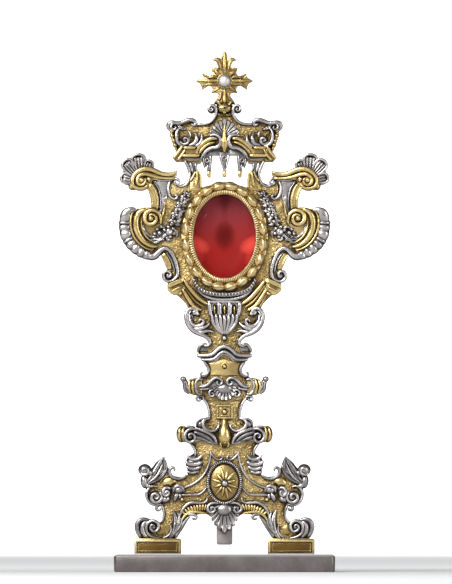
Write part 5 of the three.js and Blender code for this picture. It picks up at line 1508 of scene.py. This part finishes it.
# Cross: a gilt casting with a leafy square and three budding arms, screwed to the canopy through a
# collar of leaves.
CROSS_BACK = 0.4
cross_outline = doubled(
    [(0, 400), (1.6, 398.6), (2.4, 396.2), (2.2, 393.8)],
    [(4, 395), (6.8, 395), (9.2, 393.2)],
    [(6.8, 392.4), (5.4, 389.6), (5, 387)],
    [(7, 387.6), (10.2, 386.8)],
    [(9.2, 384), (10, 381.2)],
    [(13, 380.4), (15.4, 381), (16.6, 383.2)],
    [(17.6, 380), (22, 377.2)],
    [(18.4, 374.6), (17.2, 370)],
    [(15.6, 373), (12.6, 373.6), (10, 373)],
    [(9, 370.4), (10.2, 367.6)],
    [(7, 368.2), (4.8, 367.4)],
    [(4.4, 364.4), (6.6, 362.4), (8.4, 359.2)],
    [(0, 359.2)],
    step=0.7,
)
right_side = [
    band([(4.4, 377.1), (12, 377.1), (20.8, 377.2)], [2.6, 2.6, 1.2], [7, 7.2, 5.8], base=CROSS_BACK),
    leaf([(4.4, 379), (8.4, 380.4), (12.6, 380), (16, 382.4)], [2, 3, 2.6, 0.8], [6.8, 7.2, 6.8, 5.6], 2,
         CROSS_BACK),
    leaf([(4.4, 375.4), (8.4, 374.6), (12.8, 374.6), (16.8, 371)], [2, 3, 2.6, 0.8], [6.8, 7.2, 6.8, 5.6],
         2, CROSS_BACK),
    leaf([(3, 380), (6, 383.6), (9.4, 386)], [2, 3.6, 1], [6.8, 7.4, 6], 2, CROSS_BACK),
    leaf([(3, 373.8), (6, 370.8), (9.4, 368.4)], [2, 3.6, 1], [6.8, 7.4, 6], 2, CROSS_BACK),
    leaf([(3, 386), (3.6, 390), (5.4, 393.4), (8.6, 393.4)], [1.8, 2.6, 2.6, 0.7], [6.8, 7.2, 6.8, 5.4], 0,
         CROSS_BACK),
    band([(4.6, 387.2), (6.4, 385.4), (7.6, 382.6)], [0.7, 1, 0.7], 7, base=CROSS_BACK),
    leaf([(2.8, 368), (3.6, 364.6), (5, 362), (7.6, 359.8)], [2.2, 3, 3.4, 1.2], [6.8, 7.4, 7.4, 6], 3,
         CROSS_BACK),
    dome(12.4, 377.1, 1.5, 1.9, 7.6, base=CROSS_BACK, sides=16),
]
left_side = [(points * [-1, 1, 1], faces) for points, faces in right_side]
worn_gilt = plated_metal("worn_gilt", (0.68, 0.5, 0.21), (0.42, 0.28, 0.1), (0.18, 0.11, 0.04),
    (0.045, 0.03, 0.013), 0.2, hammering=0.3)
cross = object_of("leafy_cross", [
    plate(cross_outline, 5, base=0.1, soft=0.9),
    leaf([(0, 383), (0, 388), (0, 394), (0, 399)], [3, 3.4, 4.2, 1.4], [7, 7.4, 7.2, 5.6], 0, CROSS_BACK),
    band([(0, 370.6), (0, 366), (0, 359.8)], [2.2, 2.4, 4], [7, 7, 7.6], base=CROSS_BACK),
    band(spiral(0, 376.8, 5.4, 5.4, 0, 360), 1.2, 7.4, base=CROSS_BACK, blunt=False, step=0.6),
    *right_side, *left_side,
], [worn_gilt])
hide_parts("cross")
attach(cross, "root")


# Cross boss: a silvered domed stud of turned brass, worn and pitted, which is riveted on where the
# arms of the cross meet.
worn_silver = plated_metal("worn_silver", (0.74, 0.71, 0.68), (0.6, 0.57, 0.55), (0.3, 0.27, 0.25),
    (0.04, 0.035, 0.03), 0.42, sides=0.3, hammering=0.4, bump=0.5)
boss = object_of("cross_stud", [dome(0, 376.8, 4.75, 4.75, 11.4, base=7.9, sides=40)], [worn_silver])
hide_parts("cross_boss")
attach(boss, "root")


# Back bar: a flat strip of grey iron behind foot and stem, fixed with slotted screws. Its rounded end
# shows below the shell.
grey_iron = plated_metal("grey_iron", (0.36, 0.335, 0.32), (0.28, 0.26, 0.245), (0.12, 0.105, 0.1),
                         (0.03, 0.027, 0.025), 0.5, sides=0, hammering=0.15, bump=0.2)
bar_outline = outline_of(
    [(6.2, 212), (-6.2, 212)],
    [(-6.2, 22.3)],
    [(-5.7, 21.2), (-4.6, 20.7)],
    [(4.6, 20.7)],
    [(5.7, 21.2), (6.2, 22.3)],
)
bar_front = -0.3
bar_back = -3.3
back_bar = object_of("back_strip", [plate(bar_outline, bar_front, base=bar_back, soft=0.3)], [grey_iron])
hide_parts("back_bar")
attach(back_bar, "root")


# Plinth: a flat slab of grey cast metal, sanded and lacquered. A band along its top, where the edges round
# over, is painted lighter and less metallic than the rest: a painted highlight.
plinth_grey = bpy.data.materials.new("grey_cast_metal")
plinth_grey.use_nodes = True
tree = plinth_grey.node_tree
slab_shader = tree.nodes["Principled BSDF"]
place = add_node(tree, "ShaderNodeTexCoord").outputs["Object"]
cloudy = add_node(tree, "ShaderNodeTexNoise", {"Vector": place},
                  {"Scale": 38, "Detail": 6, "Roughness": 0.65}).outputs["Fac"]
specks = add_node(tree, "ShaderNodeTexNoise", {"Vector": place}, {"Scale": 900, "Detail": 2}).outputs["Fac"]
greys = ramp(tree, cloudy, (0.3, (0.13, 0.11, 0.104)), (0.5, (0.175, 0.152, 0.147)),
             (0.72, (0.24, 0.212, 0.212)))
speckled = mixed(tree, ramp(tree, specks, (0.58, 0.0), (0.75, 0.5)), greys, (0.12, 0.1, 0.1))
dents = add_node(tree, "ShaderNodeBump", {"Height": maths(tree, "ADD", cloudy, specks)},
                 {"Strength": 0.25, "Distance": 0.0003})
slab_up = add_node(tree, "ShaderNodeSeparateXYZ", {"Vector": place}).outputs["Z"]
# Painted highlight along the top edge.
painted_edge_highlight = ramp(tree, maths(tree, "MULTIPLY", slab_up, 50), (0.575, 0.0), (0.625, 1.0))
highlighted_grey = mixed(tree, painted_edge_highlight, speckled, (0.37, 0.35, 0.345))
tree.links.new(highlighted_grey, slab_shader.inputs["Base Color"])
tree.links.new(maths(tree, "SUBTRACT", 0.7, maths(tree, "MULTIPLY", painted_edge_highlight, 0.5)),
               slab_shader.inputs["Metallic"])
tree.links.new(dents.outputs["Normal"], slab_shader.inputs["Normal"])
slab_shader.inputs["Roughness"].default_value = 0.3
slab_half = 84
slab_depth = 36
slab_height = 13.5
slab_rings = [(1.2, 0), (0.3, 0.4), (0, 1.4), (0, slab_height - 1.9), (0.14, slab_height - 1.55),
              (1.5, slab_height - 0.1), (1.9, slab_height), (3.8, slab_height)]
slab_points = []
slab_corner = 3.2
for inset, up in slab_rings:
    half = slab_half - inset
    deep = slab_depth - inset
    round_by = max(slab_corner - inset, 0.3)
    for cx, cy, start in ((1, 1, 0), (-1, 1, 90), (-1, -1, 180), (1, -1, 270)):
        for step in range(5):
            a = math.radians(start + 22.5 * step)
            slab_points.append(((cx * (half - round_by) + round_by * math.cos(a)) * MM,
                                (cy * (deep - round_by) + round_by * math.sin(a)) * MM, up * MM))
slab_faces = ring_faces(len(slab_rings), len(slab_points) // len(slab_rings))
plinth = shaped("cast_plinth", slab_points, slab_faces, [plinth_grey])
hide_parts("plinth")
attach(plinth, "root")


# Studio: a pale table that reaches far back to a narrow white screen, a large softbox at the upper
# left, a weaker one at the right, and a dim surround that keeps the metal's contrast.
def stage_sheet(name, corners, white, glow, far_glow=None):
    """A sheet of matt white paper that glows a little, and more towards its far end if asked."""
    paper = bpy.data.materials.new(name + "_paper")
    paper.use_nodes = True
    tree = paper.node_tree
    paper_shader = tree.nodes["Principled BSDF"]
    paper_shader.inputs["Base Color"].default_value = (white, white, white, 1)
    paper_shader.inputs["Roughness"].default_value = 0.9
    paper_shader.inputs["Specular IOR Level"].default_value = 0.0
    paper_shader.inputs["Emission Color"].default_value = (1, 1, 1, 1)
    paper_shader.inputs["Emission Strength"].default_value = glow
    if far_glow:
        place = add_node(tree, "ShaderNodeTexCoord").outputs["Object"]
        away = add_node(tree, "ShaderNodeSeparateXYZ", {"Vector": place}).outputs["Y"]
        brighter = ramp(tree, maths(tree, "DIVIDE", away, 2), (0.02, glow), (0.4, far_glow))
        tree.links.new(brighter, paper_shader.inputs["Emission Strength"])
    mesh = bpy.data.meshes.new(name)
    mesh.from_pydata(corners, [], [(0, 1, 2, 3)])
    mesh.materials.append(paper)
    made = bpy.data.objects.new(name, mesh)
    bpy.context.scene.collection.objects.link(made)


stage_sheet("studio_floor", [(-12, -8, 0), (12, -8, 0), (12, 7, 0), (-12, 7, 0)], 0.8, 0.05, 0.4)
stage_sheet("studio_wall", [(-1.6, 7, -0.01), (1.6, 7, -0.01), (1.6, 7, 2.4), (-1.6, 7, 2.4)], 0.88, 1)


def softbox(name, place, aim, size, power):
    """A lamp with a wide soft front, turned to what it lights."""
    lamp = bpy.data.lights.new(name, "AREA")
    lamp.shape = "RECTANGLE"
    lamp.size, lamp.size_y = size
    lamp.energy = power
    made = bpy.data.objects.new(name, lamp)
    made.location = place
    made.rotation_euler = (Vector(aim) - Vector(place)).to_track_quat("-Z", "Y").to_euler()
    bpy.context.scene.collection.objects.link(made)


middle = (0, 0, 0.2)
softbox("key_light", (-0.85, -1.3, 1.15), middle, (1.2, 1.1), 32)
softbox("fill_light", (1.25, -1.0, 0.5), middle, (0.5, 1.1), 7)

world = bpy.data.worlds.new("studio_surround")
world.use_nodes = True
bpy.context.scene.world = world
tree = world.node_tree
surround = tree.nodes["Background"]
toward = add_node(tree, "ShaderNodeTexCoord").outputs["Generated"]
lit_side = add_node(tree, "ShaderNodeVectorMath", {0: toward}, {1: (-0.25, -0.86, 0.44)},
                    operation="DOT_PRODUCT")
glow = ramp(tree, lit_side.outputs["Value"], (0.0, (0.11, 0.115, 0.12)), (0.42, (0.12, 0.125, 0.13)),
            (0.76, (0.42, 0.43, 0.44)), (0.86, (0.56, 0.57, 0.58)), (1.0, (0.95, 0.96, 0.97)))
tree.links.new(glow, surround.inputs["Color"])
surround.inputs["Strength"].default_value = 1.0

# Camera: far away in front and low, so that the plinth's top is seen edge on and the object shows
# almost no perspective.
middle_x = 0.00115
camera_place = Vector((middle_x, -4.0, 0.02))
camera_aim = Vector((middle_x, 0, 0.2146))
seen_height = 0.4484
camera_data = bpy.data.cameras.new("camera")
camera_data.lens = camera_data.sensor_width * (camera_aim - camera_place).length / seen_height
camera = bpy.data.objects.new("camera", camera_data)
camera.location = camera_place
camera.rotation_euler = (camera_aim - camera_place).to_track_quat("-Z", "Y").to_euler()
bpy.context.scene.collection.objects.link(camera)
bpy.context.scene.camera = camera
bpy.context.scene.view_settings.view_transform = "Standard"
